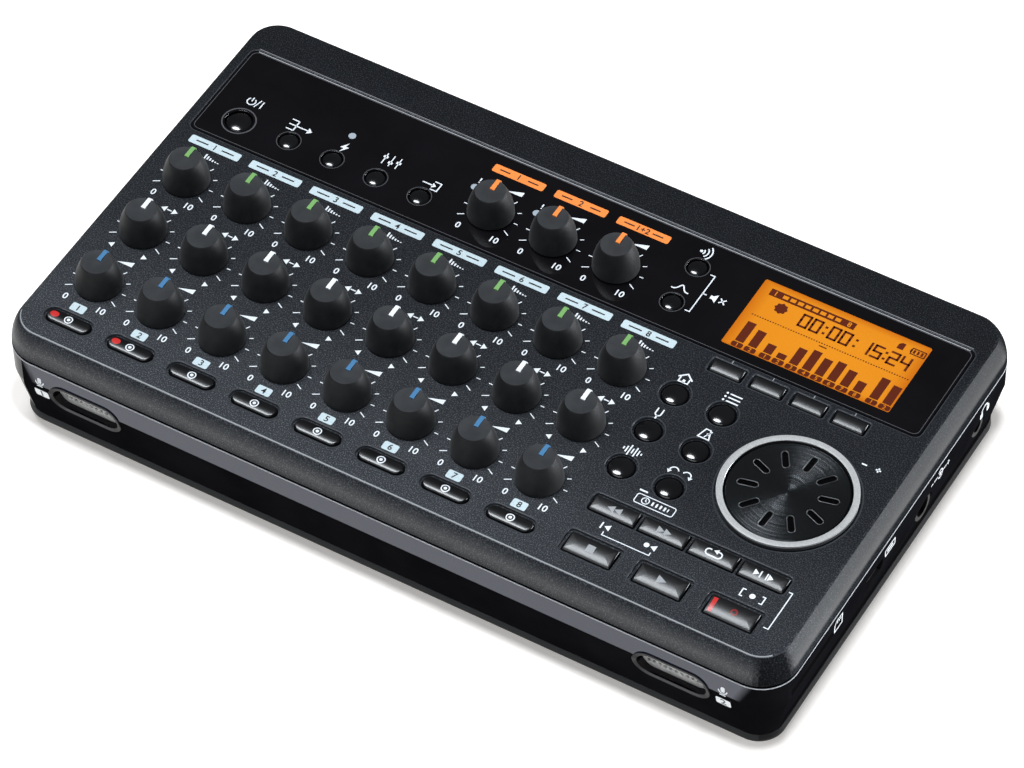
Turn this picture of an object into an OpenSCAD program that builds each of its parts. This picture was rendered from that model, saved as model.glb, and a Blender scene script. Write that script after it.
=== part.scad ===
// Digital multitrack recorder: a low tabletop case with rows of dials,
// track keys, a display behind a gloss panel, a data wheel and a battery bay.
// Frame: +X right, +Y to the rear, +Z up, origin on the floor under the middle of the case.

/* [Case] */
// Width of the case at the seam
case_w = 221; // [216:0.5:240]
// Depth of the case at the seam
case_d = 126.8; // [124:0.2:140]
// Height of the flat top above the floor
top_z = 35.4; // [35:0.1:38]
// Height of the seam between the two covers
seam_z = 26.7; // [26.3:0.1:27.5]
// Corner radius of the case in plan
corner_r = 10; // [9:0.5:12]
// Inset of the crease round the flat top
roll_in = 2.7; // [2:0.1:3.4]
// Width of the small chamfer along the crease
crease = 0.35; // [0.2:0.05:0.6]
// Wall thickness of both covers
wall = 2; // [1.7:0.1:2.2]
// Height of the upright band under the seam
band_h = 8; // [6.5:0.5:8.5]
// Draw-in of the lower case at its base
base_in = 3.7; // [3:0.1:4.2]
// Fillet round the base
base_r = 2.4; // [1:0.1:3]
// Open gap at the seam
seam_gap = 0.4; // [0.2:0.1:0.6]
// Height of the locating lip above the seam
lip_h = 2.4; // [1.5:0.1:3]
// Clearance between the lip and the top cover
lip_gap = 0.4; // [0.3:0.05:0.6]

/* [Tracks] */
// Room between the last track column and the key cluster
col_room = 13.8; // [13:0.1:15]
// Room between the top dial row and the panel
row_room = 16.3; // [15.5:0.1:17]
// First column, in from the left side
col_in = 15.4; // [14.5:0.1:17]
// Track keys, in from the front
arm_in = 10.6; // [10:0.1:11]
// Lowest dial row, in from the front
level_in = 24.5; // [24:0.1:25]

/* [Dials] */
// Radius of a dial at its foot
knob_r = 6.1; // [5.5:0.1:6.8]
// Height of a dial above the flat top
knob_h = 8.4; // [7:0.1:11]
// Radius of the dial's top face
knob_top_r = 4.3; // [3.6:0.1:4.8]
// Depth of the dish in the dial's top face
knob_dish = 0.3; // [0.15:0.05:0.5]
// Running gap between a dial and the cover
knob_lift = 0.5; // [0.3:0.1:0.8]
// Width of the pointer rib
pointer_w = 1.15; // [0.8:0.05:1.6]
// Radius of a control shaft
shaft_r = 3; // [2.5:0.1:3.2]
// Gap between a shaft and its dial
shaft_gap = 0.05; // [0.04:0.01:0.1]
// Clearance round a shaft in the covers
shaft_play = 0.8; // [0.5:0.1:1.2]

/* [Panel] */
// Depth of the gloss panel, front to rear
panel_d = 31.5; // [31:0.1:32.5]
// Panel edge, in from the sides of the case
panel_in = 5.65; // [5.2:0.05:6]
// Panel edge, in from the rear of the case
panel_rear = 14.1; // [13.6:0.1:14.4]
// Thickness of the panel
panel_t = 1.2; // [1:0.1:1.4]
// Corner radius of the panel
panel_r = 1.8; // [1:0.1:3]
// Gap round the panel
panel_gap = 0.3; // [0.2:0.05:0.5]
// Thickness of the cover's floor under the panel
floor_t = 1.4; // [1.1:0.1:1.6]
// Width of the display window
lcd_w = 46.6; // [44:0.1:48]
// Depth of the display window
lcd_d = 23.5; // [22:0.1:24]
// Right end of the display window, in from the right side
lcd_in = 15.6; // [15:0.1:17]

/* [Keys] */
// Left end of the key cluster, in from the right side
cluster_in = 65.1; // [64:0.1:66]
// Width of the key cluster
cluster_w = 54.2; // [53.5:0.1:54.6]
// Travel of every key
travel = 0.5; // [0.3:0.05:0.6]
// Gap between a key's cap and its opening
key_gap = 0.3; // [0.25:0.05:0.4]
// Gap between a key's flange and the cover
flange_gap = 0.3; // [0.25:0.05:0.5]
// Thickness of a key's flange
flange_t = 0.8; // [0.6:0.1:1]
// Depth of the pocket round a key
pocket_t = 0.7; // [0.5:0.1:0.9]
// How far a key's crown stands above the flat top
key_rise = 0.3; // [0.1:0.05:0.8]
// Length of a track key's cap
arm_l = 12.4; // [11:0.1:13]
// Width of a track key's cap
arm_w = 4; // [3.6:0.1:4.4]
// Radius of a round key's cap
menu_r = 3.35; // [3:0.05:3.6]
// Radius of a panel key's cap
small_r = 2.6; // [2.3:0.05:2.9]
// Radius of the power key's cap
power_r = 3.5; // [3.2:0.05:3.8]
// Width of a transport key's cap
trans_w = 13; // [12:0.1:13.6]
// Depth of a transport key's cap
trans_d = 5.7; // [5:0.1:6]
// Width of a strip key's cap
strip_w = 12.4; // [11.5:0.1:12.8]
// Depth of a strip key's cap
strip_d = 4.5; // [4:0.1:4.8]
// Width of a display key's cap
soft_w = 8.6; // [8:0.1:9]
// Depth of a display key's cap
soft_d = 3.7; // [3.2:0.1:4]

/* [Wheel] */
// Outer radius of the data wheel
wheel_r = 17.4; // [16:0.1:17.6]
// Width of the bright ring round the wheel
ring_w = 1.7; // [1.2:0.1:2.4]
// Height of the ring above the flat top
wheel_rise = 1.3; // [0.8:0.1:3]
// Number of grip slots in the wheel
wheel_slots = 10; // [6:1:12]
// Length of a grip slot
slot_l = 5.2; // [4:0.1:6]
// Width of a grip slot
slot_w = 1.7; // [1.2:0.1:2.2]

/* [Inside] */
// Clear height between the board and the top cover
stack_h = 11.2; // [10.9:0.1:11.6]
// Thickness of the main board
board_t = 1.6; // [1.2:0.1:1.8]
// Height of a push switch with its plunger
switch_h = 4.5; // [4:0.1:5]
// Gap left between a pressed key's stem and its switch
press_gap = 0.15; // [0.1:0.05:0.3]
// Height of a potentiometer's body
pot_h = 6; // [5.5:0.1:6.3]

/* [Sockets] */
// Radius of the headphone bore
phones_r = 1.8; // [1.75:0.05:2]
// Radius of the power inlet's bore
inlet_r = 2.9; // [2.6:0.1:3.1]
// Radius of an input's plug bore
input_r = 3.25; // [3.2:0.05:3.4]
// Distance between the two inputs
input_pitch = 28; // [26:0.5:30]
// Radius of a line output's sleeve
sleeve_r = 4.15; // [4:0.05:4.3]
// Depth of the well round a line output's sleeve
well_l = 4.2; // [3.6:0.1:4.4]
// Length of a microphone slot
mic_l = 19; // [17:0.5:20]
// Height of a microphone slot
mic_h = 7.4; // [6.5:0.1:7.8]

/* [Battery bay] */
// Length of the bay along the cells
bay_l = 57; // [55:0.5:58]
// Width of the bay across the cells
bay_w = 60; // [59:0.5:62]
// Middle of the bay, in from the left side
bay_in = 84; // [82:0.5:86]
// Thickness of the bay's door
door_t = 1.8; // [1.6:0.1:2.2]
// Gap round the door
door_gap = 0.4; // [0.3:0.05:0.6]
// Radius of the door's hinge pins
hinge_r = 0.7; // [0.6:0.05:0.8]

/* [Feet and screws] */
// Height of the feet under the base
foot_h = 1.9; // [1.6:0.1:2.2]
// Radius of a foot
foot_r = 6; // [5:0.5:7]
// Radius of a case screw
screw_r = 1.4; // [1.2:0.05:1.5]
// Radius of a screw post
post_r = 3.3; // [3:0.1:3.5]

/* [Hidden] */
$fn = 96;
tracks = 8;
strips = 4;
e = 0.02;
left = -case_w/2;
right = case_w/2;
front = -case_d/2;
rear = case_d/2;
base_z = foot_h;
band_z = seam_z - band_h;
taper = atan(base_in/(band_z - base_z));
roll_h = top_z - seam_z;
roll_R = (roll_in*roll_in + roll_h*roll_h)/(2*roll_in);
under_z = top_z - wall;
floor_z = top_z - panel_t - floor_t;
board_z = under_z - stack_h;
board_u = board_z - board_t;

// Track columns and dial rows share out what the clusters leave of the case
panel_w = case_w - 2*panel_in;
panel_y1 = rear - panel_rear;
panel_y0 = panel_y1 - panel_d;
apron = panel_y0 - front;
cluster_x = right - cluster_in;
col_pitch = (case_w - col_in - col_room - cluster_in)/(tracks - 1);
row_pitch = (apron - level_in - row_room)/2;
function col_x(i) = left + col_in + i*col_pitch;
rows = [for (i = [0:2]) front + level_in + i*row_pitch];
arm_at = [for (i = [0:tracks-1]) [col_x(i), front + arm_in]];

// Places on the panel, up from its front edge
trim_up = 12.15;
trim_shift = 0.3;
small_in = 15.2;
small_room = 18.71;
small_up = 8.3;
pair_ups = [8.9, 22.1];
power_off = [0.45, 7.9];
lcd_up = 3.5;
lamp_off = [0.27, 9.5];
trim_lamp = [-8.2, 5.9];
trim_y = panel_y0 + trim_up;
trim_xs = [for (i = [4:6]) col_x(i) + trim_shift];
small_pitch = (trim_xs[0] - small_room - col_x(0) - small_in)/3;
small_at = concat([for (i = [0:3]) [col_x(0) + small_in + small_pitch*i, panel_y0 + small_up]],
                  [for (y = pair_ups) [col_x(7), panel_y0 + y]]);
power_at = [col_x(0), panel_y0] + power_off;
lcd_x = right - lcd_in - lcd_w/2;
lcd_y = panel_y0 + lcd_up + lcd_d/2;
dial_at = concat([for (y = rows) for (i = [0:tracks-1]) [col_x(i), y]],
                 [for (x = trim_xs) [x, trim_y]]);
lamp_at = concat([small_at[1] + lamp_off],
                 [for (i = [0:1]) [trim_xs[i], trim_y] + trim_lamp]);
lamp_r = 1;
lamp_play = 0.15;

// Places right of the tracks: in from the cluster's left end, and a part of the depth before the panel
trans_x = 7.7;
trans_pitch = 19.17;
trans_part = 0.1453;
strip_part = 0.3091;
menu_x = 1.4;
menu_pitch = 13.17;
menu_parts = [0.7931, 0.6298, 0.4665];
soft_x = 8.85;
soft_pitch = 11.35;
soft_in = 3.9;
wheel_in = 24.7;
wheel_part = 0.6182;
function apron_y(part) = front + part*apron;
trans_at = [for (i = [0:2]) [cluster_x + trans_x + trans_pitch*i, apron_y(trans_part)]];
strip_pitch = cluster_w/strips;
strip_at = [for (i = [0:strips-1]) [cluster_x + strip_pitch*(i + 0.5), apron_y(strip_part)]];
menu_at = [for (p = menu_parts) for (i = [0:1]) [cluster_x + menu_x + menu_pitch*i, apron_y(p)]];
soft_at = [for (i = [0:3]) [cluster_x + soft_x + soft_pitch*i, panel_y0 - soft_in]];
wheel_xy = [right - wheel_in, apron_y(wheel_part)];

// Key forms shared by the caps, their openings and their switches
box_crown = 14;
slot_crown = 5.5;
flange_out = 0.8;
stem_r = 1.5;
stem_z = board_z + switch_h + travel + press_gap;
switch_w = 6;
plunger_r = 1.7;
pot_w = 9.6;
pot_d = 9.8;
encoder_w = 13;

// Side and rear sockets
phones_in = 19.4;
inlet_in = 48.9;
usb_in = 50.4;
card_in = 21.4;
side_y = [rear - phones_in, rear - inlet_in, front + usb_in, front + card_in];
jack_drop = 5.4;
jack_z = board_u - jack_drop;
body_x = right - 4.4;
nose_x = right - 1.6;
socket_play = 0.25;
socket_l = 12;
hole_l = 9;
phones_nose = 3;
phones_w = 7;
inlet_nose = 4;
inlet_w = 9;
inlet_pin = 1;
usb_wd = [8.2, 4.2];
usb_wall = 0.4;
card_wd = [28, 2.7];
card_l = 28;
card_slot = [24.6, 2.1];
card_play = [0.6, 0.4];
input_at = [left + 32.5, left + 32.5 + input_pitch];
input_z = base_z + 13.1;
input_nose = 10;
input_body = 25;
input_l = 19.8;
input_h = 22;
guide_r = 8.4;
guide_l = 3;
plug_l = 18;
contact_r = 1.3;
contact_l = 10;
contact_ring = 5.8;
rear_face = rear - 5.6;
out_at = [left + 88.5, left + 104.5];
out_nose = 7.2;
out_well = 6.6;
out_w = 10;
out_pin = 1.6;

// Microphones
mic_at = [left + 25.5, right - 28.8];
mic_z = band_z - 1.1;
grille_y = front + 3;
grille_t = 0.5;
grille_rim = 1.2;
seat_t = 1.3;
capsule_r = 3;
capsule_l = 3.2;

// Battery bay, its door and its hinge
bay_x = left + bay_in;
bay_back = 70.4;
bay_y = rear - bay_back;
bay_wall = 1.5;
bay_top = board_u - 0.3 - bay_wall;
rim_w = 3;
barrel_r = 1.2;
barrel_play = 0.3;
barrel_y = bay_y + bay_w/2 + rim_w - door_gap - barrel_r;
barrel_z = base_z + barrel_r;
pin_l = 1.6;
pin_play = 0.06;
cells = 4;
contact_t = 0.5;
contact_w = 10;

// Posts, screws and feet
post_in = 8;
post_rear = 10.4;
post_ups = [16.4, 39.4, 18.4];
post_offs = [3.8, 4.4];
post_gap = 7.8;
post_at = [[left + post_in, front + post_ups[0]], [right - post_in, front + post_ups[1]],
           [left + post_in, rear - post_rear], [right - post_in, rear - post_rear],
           [cluster_x - post_offs[0], front + post_ups[2]], [cluster_x - post_offs[1], panel_y0 - post_gap]];
head_r = 2.6;
head_h = 2;
head_in = 9;
head_z = base_z + head_in;
head_play = 0.4;
screw_play = 0.05;
screw_in = 3;
screw_top = under_z - screw_in;
drive_l = 3.6;
drive_w = 0.8;
foot_seat = 0.4;
foot_in = [18.5, 15.4];
foot_at = [for (x = [left + foot_in[0], right - foot_in[0]])
           for (y = [front + foot_in[1], rear - foot_in[1]]) [x, y]];

// A rounded rectangle about the origin, with true arcs at its corners
module rounded(w, d, r) {
    square([w - 2*r, d], center = true);
    square([w, d - 2*r], center = true);
    for (a = [0:3]) {
        mirror([a % 2, 0]) mirror([0, floor(a/2)]) translate([w/2 - r, d/2 - r]) intersection() {
            circle(r);
            square(r);
        }
    }
}

// A slot with round ends, its length along X
module stadium(l, w) {
    square([l - w, w], center = true);
    for (s = [0, 1]) {
        mirror([s, 0]) translate([l/2 - w/2, 0]) intersection() {
            circle(w/2);
            translate([0, -w/2]) square([w/2, w]);
        }
    }
}

// A profile in (distance out from the corner's centre, height), taken all round the case
module around() {
    for (s = [0, 1]) {
        rotate(180*s) {
            translate([case_w/2 - corner_r, 0, 0]) rotate([90, 0, 0])
                linear_extrude(case_d - 2*corner_r, center = true) children();
            translate([0, case_d/2 - corner_r, 0]) rotate([90, 0, 90])
                linear_extrude(case_w - 2*corner_r, center = true) children();
        }
    }
    for (a = [0:3]) {
        sx = (a == 0 || a == 3) ? 1 : -1;
        sy = a < 2 ? 1 : -1;
        translate([sx*(case_w/2 - corner_r), sy*(case_d/2 - corner_r), 0])
            rotate(90*a) rotate_extrude(angle = 90) children();
    }
}

// The block inside the corner centres, between two heights
module core(z0, z1) {
    translate([-(case_w/2 - corner_r), -(case_d/2 - corner_r), z0])
        cube([case_w - 2*corner_r, case_d - 2*corner_r, z1 - z0]);
}

// Half section of the rolled top: a flat, a crease and an arc that meets the seam upright
module roll_section(inset, z0, z1, bevel) {
    difference() {
        intersection() {
            translate([0, z0]) square([corner_r + 1, z1 - z0]);
            translate([corner_r - roll_R, seam_z]) circle(roll_R - inset, $fn = 180);
        }
        if (bevel > 0) {
            translate([corner_r - roll_in - bevel, z1]) rotate(-26) square([4*bevel, 3]);
        }
    }
}

// Half section of the lower case: base, fillet, drawn-in side and upright band
function base_arc(f) = let (t = f*tan((90 - taper)/2), rc = corner_r - base_in)
    [for (a = [0:15:90 - taper]) [rc - t + f*sin(a), base_z + f - f*cos(a)]];
module tray_section(inset, z0, z1, f) {
    slope = wall/cos(taper);
    if (inset == 0) {
        polygon(concat([[0, z0]], base_arc(f), [[corner_r, band_z], [corner_r, z1], [0, z1]]));
    } else {
        polygon([[0, z0], [corner_r - base_in - slope + (z0 - base_z)*tan(taper), z0],
                 [corner_r - inset, band_z + wall*tan(taper/2)], [corner_r - inset, z1], [0, z1]]);
    }
}

// Places its children at each point of a list
module at(points) {
    for (p = points) translate([p[0], p[1], 0]) children();
}

// Openings

module key_opening(out) {
    translate([0, 0, floor_z - 1]) linear_extrude(top_z - floor_z + 2) children(0);
    if (out) translate([0, 0, top_z - pocket_t]) linear_extrude(pocket_t + 1) children(1);
}

module box_openings() {
    at(trans_at) key_opening(true) {
        rounded(trans_w + 2*key_gap, trans_d + 2*key_gap, 0.6);
        rounded(trans_w + 2.2, trans_d + 2, 1.4);
    }
    at(strip_at) key_opening(false)
        rounded(strip_w + 2*key_gap, strip_d + 2*key_gap, 0.4);
    translate([cluster_x + cluster_w/2, strip_at[0][1], top_z - pocket_t])
        linear_extrude(pocket_t + 1) rounded(cluster_w, strip_d + 1.7, 1.4);
    at(soft_at) key_opening(true) {
        rounded(soft_w + 2*key_gap, soft_d + 2*key_gap, 0.4);
        rounded(soft_w + 1.2, soft_d + 1.1, 0.7);
    }
}

module round_openings() {
    at(arm_at) key_opening(true) {
        stadium(arm_l + 2*key_gap, arm_w + 2*key_gap);
        stadium(arm_l + 1.5, arm_w + 1.3);
    }
    at(menu_at) key_opening(true) {
        circle(menu_r + key_gap);
        circle(menu_r + 0.75);
    }
}

module panel_openings(z0, z1) {
    translate([0, 0, z0]) linear_extrude(z1 - z0) {
        at(small_at) circle(small_r + key_gap);
        translate(power_at) circle(power_r + key_gap);
        at(lamp_at) circle(lamp_r + lamp_play);
        for (x = trim_xs) translate([x, trim_y]) circle(shaft_r + shaft_play);
    }
}

// Covers

module top_cover() {
    color("dimgray") difference() {
        union() {
            difference() {
                union() {
                    around() roll_section(0, seam_z + seam_gap/2, top_z, crease);
                    core(seam_z + seam_gap/2, top_z);
                }
                around() roll_section(wall, seam_z - 1, under_z, 0);
                core(seam_z - 1, under_z);
            }
            translate([0, (panel_y0 + panel_y1)/2, floor_z]) linear_extrude(under_z - floor_z + 0.2)
                rounded(panel_w + 2*panel_gap + 2*floor_t, panel_d + 2*panel_gap + 2*floor_t, panel_r);
            at(post_at) translate([0, 0, board_z]) cylinder(under_z - board_z + 0.5, r = post_r);
        }
        translate([0, (panel_y0 + panel_y1)/2, top_z - panel_t]) linear_extrude(panel_t + 1)
            rounded(panel_w + 2*panel_gap, panel_d + 2*panel_gap, panel_r + panel_gap);
        translate([lcd_x, lcd_y, floor_z - 1]) linear_extrude(floor_t + 2) rounded(lcd_w + 2, lcd_d + 2, 1);
        panel_openings(floor_z - 1, top_z);
        box_openings();
        round_openings();
        for (y = rows) for (i = [0:tracks-1])
            translate([col_x(i), y, under_z - 1]) cylinder(wall + 2, r = shaft_r + shaft_play);
        translate([wheel_xy[0], wheel_xy[1], 0]) {
            translate([0, 0, top_z - pocket_t]) cylinder(pocket_t + 1, r = wheel_r + 0.6);
            translate([0, 0, under_z - 1]) cylinder(wall + 1, r = shaft_r + shaft_play);
        }
        at(post_at) translate([0, 0, board_z - 1])
            cylinder(screw_top - board_z + 1 + screw_play, r = screw_r + screw_play);
    }
}

// The recess along the right side follows the wall, a little in from its face
module side_recess(depth) {
    z1 = seam_z - 1.6;
    z0 = base_z + 4;
    function side_x(z) = right - max(0, (band_z - z)*tan(taper));
    translate([0, (side_y[0] + side_y[3])/2 - 3, 0]) rotate([90, 0, 0])
        linear_extrude(side_y[0] - side_y[3] + 38, center = true)
            polygon([[side_x(z1) - depth, z1], [right + 3, z1], [right + 3, z0], [side_x(z0) - depth, z0],
                     [side_x(band_z) - depth, band_z]]);
}

module side_holes() {
    x0 = body_x - 1;
    translate([x0, side_y[0], jack_z]) rotate([0, 90, 0]) cylinder(hole_l, r = phones_nose + socket_play);
    translate([x0, side_y[1], jack_z]) rotate([0, 90, 0]) cylinder(hole_l, r = inlet_nose + socket_play);
    translate([x0, side_y[2] - usb_wd[0]/2 - socket_play, board_u - usb_wd[1] - socket_play])
        cube([hole_l, usb_wd[0] + 2*socket_play, usb_wd[1] + 2*socket_play]);
    translate([x0, side_y[3], board_u - card_wd[1]/2]) rotate([90, 0, 90]) linear_extrude(hole_l)
        square([card_slot[0] + 2*card_play[0], card_slot[1] + 2*card_play[1]], center = true);
}

module rear_holes() {
    for (x = input_at) translate([x, rear + 3, input_z]) rotate([90, 0, 0])
        cylinder(hole_l, r = input_nose + socket_play);
    for (x = out_at) translate([x, rear + 3, jack_z]) rotate([90, 0, 0])
        cylinder(hole_l, r = out_nose + socket_play);
}

module mic_seat(x) {
    translate([x, grille_y, mic_z]) rotate([90, 0, 0])
        linear_extrude(seat_t) rounded(mic_l + 6, mic_h + 5, 2);
}

module mic_cuts(x) {
    seat = 2*grille_rim + 0.2;
    translate([x, grille_y, mic_z]) rotate([90, 0, 0]) {
        translate([0, 0, -e]) linear_extrude(8) stadium(mic_l, mic_h);
        translate([0, 0, -4]) linear_extrude(4) stadium(mic_l + seat, mic_h + seat);
    }
}

module bay_solid() {
    translate([bay_x, bay_y, base_z]) linear_extrude(bay_top + bay_wall - base_z)
        square([bay_l + 2*bay_wall, bay_w + 2*bay_wall], center = true);
    translate([bay_x, bay_y, base_z]) linear_extrude(door_t + door_gap + 1.6)
        square([bay_l + 2*rim_w + 5, bay_w + 2*rim_w + 4], center = true);
}

module bay_cuts() {
    translate([bay_x, bay_y, base_z - 1]) linear_extrude(bay_top - base_z + 1)
        square([bay_l, bay_w], center = true);
    translate([bay_x, bay_y, base_z - 1]) linear_extrude(door_t + door_gap + 1)
        square([bay_l + 2*rim_w, bay_w + 2*rim_w], center = true);
    translate([bay_x, barrel_y, barrel_z]) rotate([0, 90, 0]) {
        cylinder(bay_l + 2*rim_w, r = barrel_r + barrel_play, center = true);
        cylinder(bay_l + 2*rim_w + 2*pin_l + 0.4, r = hinge_r + pin_play, center = true);
    }
}

module bottom_cover() {
    top = seam_z - seam_gap/2;
    lip_out = corner_r - wall - lip_gap;
    lip_in = lip_out - 1.2;
    lip_z = seam_z - 3.6;
    root = corner_r - wall + 0.4;
    color("black") difference() {
        union() {
            difference() {
                union() {
                    around() tray_section(0, base_z, top, base_r);
                    core(base_z, top);
                }
                around() tray_section(wall, base_z + wall, top + 1, 0);
                core(base_z + wall, top + 1);
            }
            around() polygon([[lip_in, lip_z + 1], [root, lip_z - 0.8], [root, top], [lip_out, top],
                              [lip_out, seam_z + lip_h], [lip_in, seam_z + lip_h]]);
            at(post_at) translate([0, 0, base_z + 1]) cylinder(board_u - base_z - 1, r = post_r);
            bay_solid();
            for (x = mic_at) mic_seat(x);
        }
        bay_cuts();
        for (x = mic_at) mic_cuts(x);
        side_recess(0.6);
        side_holes();
        rear_holes();
        at(post_at) {
            translate([0, 0, base_z - 1]) cylinder(head_z - base_z + 1 + head_h, r = head_r + head_play);
            translate([0, 0, base_z]) cylinder(board_u, r = screw_r + screw_play + 0.15);
        }
        at(foot_at) translate([0, 0, base_z - 1]) cylinder(1 + foot_seat, r = foot_r + 0.15);
    }
}

module display_panel() {
    color("black") difference() {
        translate([0, (panel_y0 + panel_y1)/2, top_z - panel_t]) linear_extrude(panel_t)
            rounded(panel_w, panel_d, panel_r);
        panel_openings(top_z - panel_t - 1, top_z + 1);
    }
}

// Dials and wheel

module d_section(r) {
    intersection() {
        circle(r);
        translate([-r, -r]) square([2*r, 1.75*r]);
    }
}

// A dial: arched side, dished top, pointer rib, hollow skirt, and its shaft as a second solid
module dial(at_x, at_y) {
    foot = top_z + knob_lift;
    head = top_z + knob_h;
    rim_h = knob_h - knob_lift - 0.5;
    side_in = knob_r - knob_top_r;
    side_R = (side_in*side_in + rim_h*rim_h)/(2*side_in);
    dish_r = knob_top_r - 0.35;
    dish_R = (dish_r*dish_r + knob_dish*knob_dish)/(2*knob_dish);
    bore_top = head - 2.2;
    shaft_z = board_z + pot_h + 0.3;
    color("black") translate([at_x, at_y, 0]) {
        difference() {
            union() {
                rotate_extrude() difference() {
                    intersection() {
                        translate([0, foot]) square([knob_r + 1, head - foot]);
                        translate([knob_r - side_R, foot]) circle(side_R, $fn = 180);
                        polygon([[0, foot], [knob_r + 1, foot], [knob_r + 1, head - 0.5],
                                 [knob_top_r + 0.1, head - 0.5], [dish_r, head], [0, head]]);
                    }
                    translate([0, head + dish_R - knob_dish]) circle(dish_R, $fn = 180);
                    translate([knob_r - 1.75, foot - 1]) square([0.9, 4]);
                }
                translate([-pointer_w/2, 1.3, head - 1]) cube([pointer_w, dish_r - 1.3, 1]);
            }
            translate([0, 0, foot - 1]) linear_extrude(bore_top - foot + 1 + shaft_gap)
                d_section(shaft_r + shaft_gap);
        }
        translate([0, 0, shaft_z]) linear_extrude(bore_top - shaft_z) d_section(shaft_r);
    }
}

module data_wheel() {
    low = top_z - pocket_t + 0.4;
    high = top_z + wheel_rise;
    disc_r = wheel_r - ring_w;
    disc_z = high - 0.4;
    shaft_z = board_z + pot_h + 0.3;
    color("dimgray") translate([wheel_xy[0], wheel_xy[1], 0]) {
        difference() {
            union() {
                rotate_extrude() polygon([[0, low], [disc_r, low], [disc_r, disc_z - 0.7],
                                          [disc_r - 0.7, disc_z], [0, disc_z]]);
                translate([0, 0, shaft_z]) cylinder(low - shaft_z + 0.5, r = shaft_r);
            }
            for (i = [0:wheel_slots-1]) rotate(360*i/wheel_slots + 14)
                translate([disc_r*0.64, 0, disc_z - 0.5]) linear_extrude(1) stadium(slot_l, slot_w);
        }
        rotate_extrude() polygon([[disc_r + shaft_gap, low], [wheel_r, low], [wheel_r, high - 0.6],
                                  [wheel_r - 0.6, high], [disc_r + 0.3, high],
                                  [disc_r + shaft_gap, high - 0.3]]);
    }
}

// Keys: a cap, a flange that stops under the cover, and a stem above the switch

module stem(under) {
    translate([0, 0, stem_z]) cylinder(under - stem_z, r = stem_r);
}

module box_key(w, d, side, under) {
    crown = top_z + key_rise;
    low = under - flange_gap - flange_t;
    color("black") {
        intersection() {
            translate([0, 0, low]) linear_extrude(crown - low) rounded(w, d, 0.35);
            rotate([90, 0, 90]) linear_extrude(w + 2, center = true) union() {
                translate([d/4, crown - box_crown]) circle(box_crown, $fn = 180);
                translate([-d, low - 1]) square([2*d, 2]);
            }
        }
        translate([0, 0, low]) linear_extrude(flange_t)
            square([w + 2*side, d + 2*key_gap + 2*flange_out], center = true);
        stem(low + e);
    }
}

module slot_key(l, w) {
    crown = top_z + key_rise;
    low = under_z - flange_gap - flange_t;
    color("black") {
        intersection() {
            translate([0, 0, low]) linear_extrude(crown - low) stadium(l, w);
            translate([0, 0, crown - slot_crown]) rotate([0, 90, 0])
                cylinder(l + 2, r = slot_crown, center = true);
        }
        translate([0, 0, low]) linear_extrude(flange_t)
            stadium(l + 2*key_gap + 2*flange_out, w + 2*key_gap + 2*flange_out);
        stem(low + e);
    }
}

module round_key(r, under) {
    crown = top_z + key_rise;
    low = under - flange_gap - flange_t;
    dome_R = 1.6*r;
    color("black") {
        rotate_extrude() intersection() {
            translate([0, low]) square([r, crown - low + 1]);
            union() {
                translate([0, crown - dome_R]) circle(dome_R);
                translate([0, low]) square([r, 1]);
            }
        }
        translate([0, 0, low]) cylinder(flange_t, r = r + key_gap + flange_out);
        stem(low + e);
    }
}

module trans_key(i) {
    at([trans_at[i]]) box_key(trans_w, trans_d, key_gap + flange_out, under_z);
}

module strip_key(i) {
    at([strip_at[i]]) box_key(strip_w, strip_d, 0, under_z);
}

module power_button() {
    at([power_at]) round_key(power_r, floor_z);
}

module track_arm_keys() {
    at(arm_at) slot_key(arm_l, arm_w);
}

module menu_buttons() {
    at(menu_at) round_key(menu_r, under_z);
}

module panel_buttons() {
    at(small_at) round_key(small_r, floor_z);
}

module soft_keys() {
    at(soft_at) box_key(soft_w, soft_d, key_gap + flange_out, floor_z);
}

// Board and what it carries

module main_board() {
    notch_w = input_pitch + input_body + 3;
    notch_x = (input_at[0] + input_at[1])/2;
    notch_y = rear_face - input_l - 0.6;
    board_w = case_w - 9;
    y0 = front + 5.4;
    y1 = rear - 7.4;
    color("darkgreen") translate([0, 0, board_u]) linear_extrude(board_t) difference() {
        translate([0, (y0 + y1)/2]) square([board_w, y1 - y0], center = true);
        translate([notch_x - notch_w/2, notch_y]) square([notch_w, 40]);
        at(post_at) circle(screw_r + screw_play + 0.15);
    }
}

module lcd_module() {
    frame_w = lcd_w + 6;
    frame_d = lcd_d + 5;
    glass_t = 2.4;
    top = floor_z - 0.3;
    color("orange") translate([lcd_x, lcd_y, 0]) {
        difference() {
            translate([0, 0, board_z]) linear_extrude(top - board_z)
                square([frame_w, frame_d], center = true);
            translate([0, 0, board_z - 1]) linear_extrude(top - board_z + 1 - glass_t)
                square([frame_w - 4, frame_d - 4], center = true);
        }
    }
}

module pot(w, d) {
    translate([0, 0, board_z]) difference() {
        union() {
            translate([-w/2, -d/2, 0]) cube([w, d, pot_h]);
            cylinder(pot_h + 2.2, r = shaft_r + 1.3);
        }
        translate([0, 0, pot_h]) cylinder(3, r = shaft_r + 0.35);
    }
}

module potentiometers() {
    color("silver") {
        at(dial_at) pot(pot_w, pot_d);
        at([wheel_xy]) pot(encoder_w, encoder_w);
    }
}

module tact_switches() {
    body_h = switch_h - 1;
    color("gray") at(concat(arm_at, menu_at, small_at, [power_at], trans_at, strip_at, soft_at))
        translate([0, 0, board_z]) {
            translate([-switch_w/2, -switch_w/2, 0]) cube([switch_w, switch_w, body_h]);
            cylinder(switch_h, r = plunger_r);
        }
}

module indicator_leds() {
    color("red") {
        at(lamp_at) translate([0, 0, board_z]) cylinder(top_z - board_z, r = lamp_r);
        at(arm_at) translate([-switch_w/2 - 2.2, -0.6, board_z]) cube([1.6, 1.2, 0.8]);
    }
}

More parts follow.
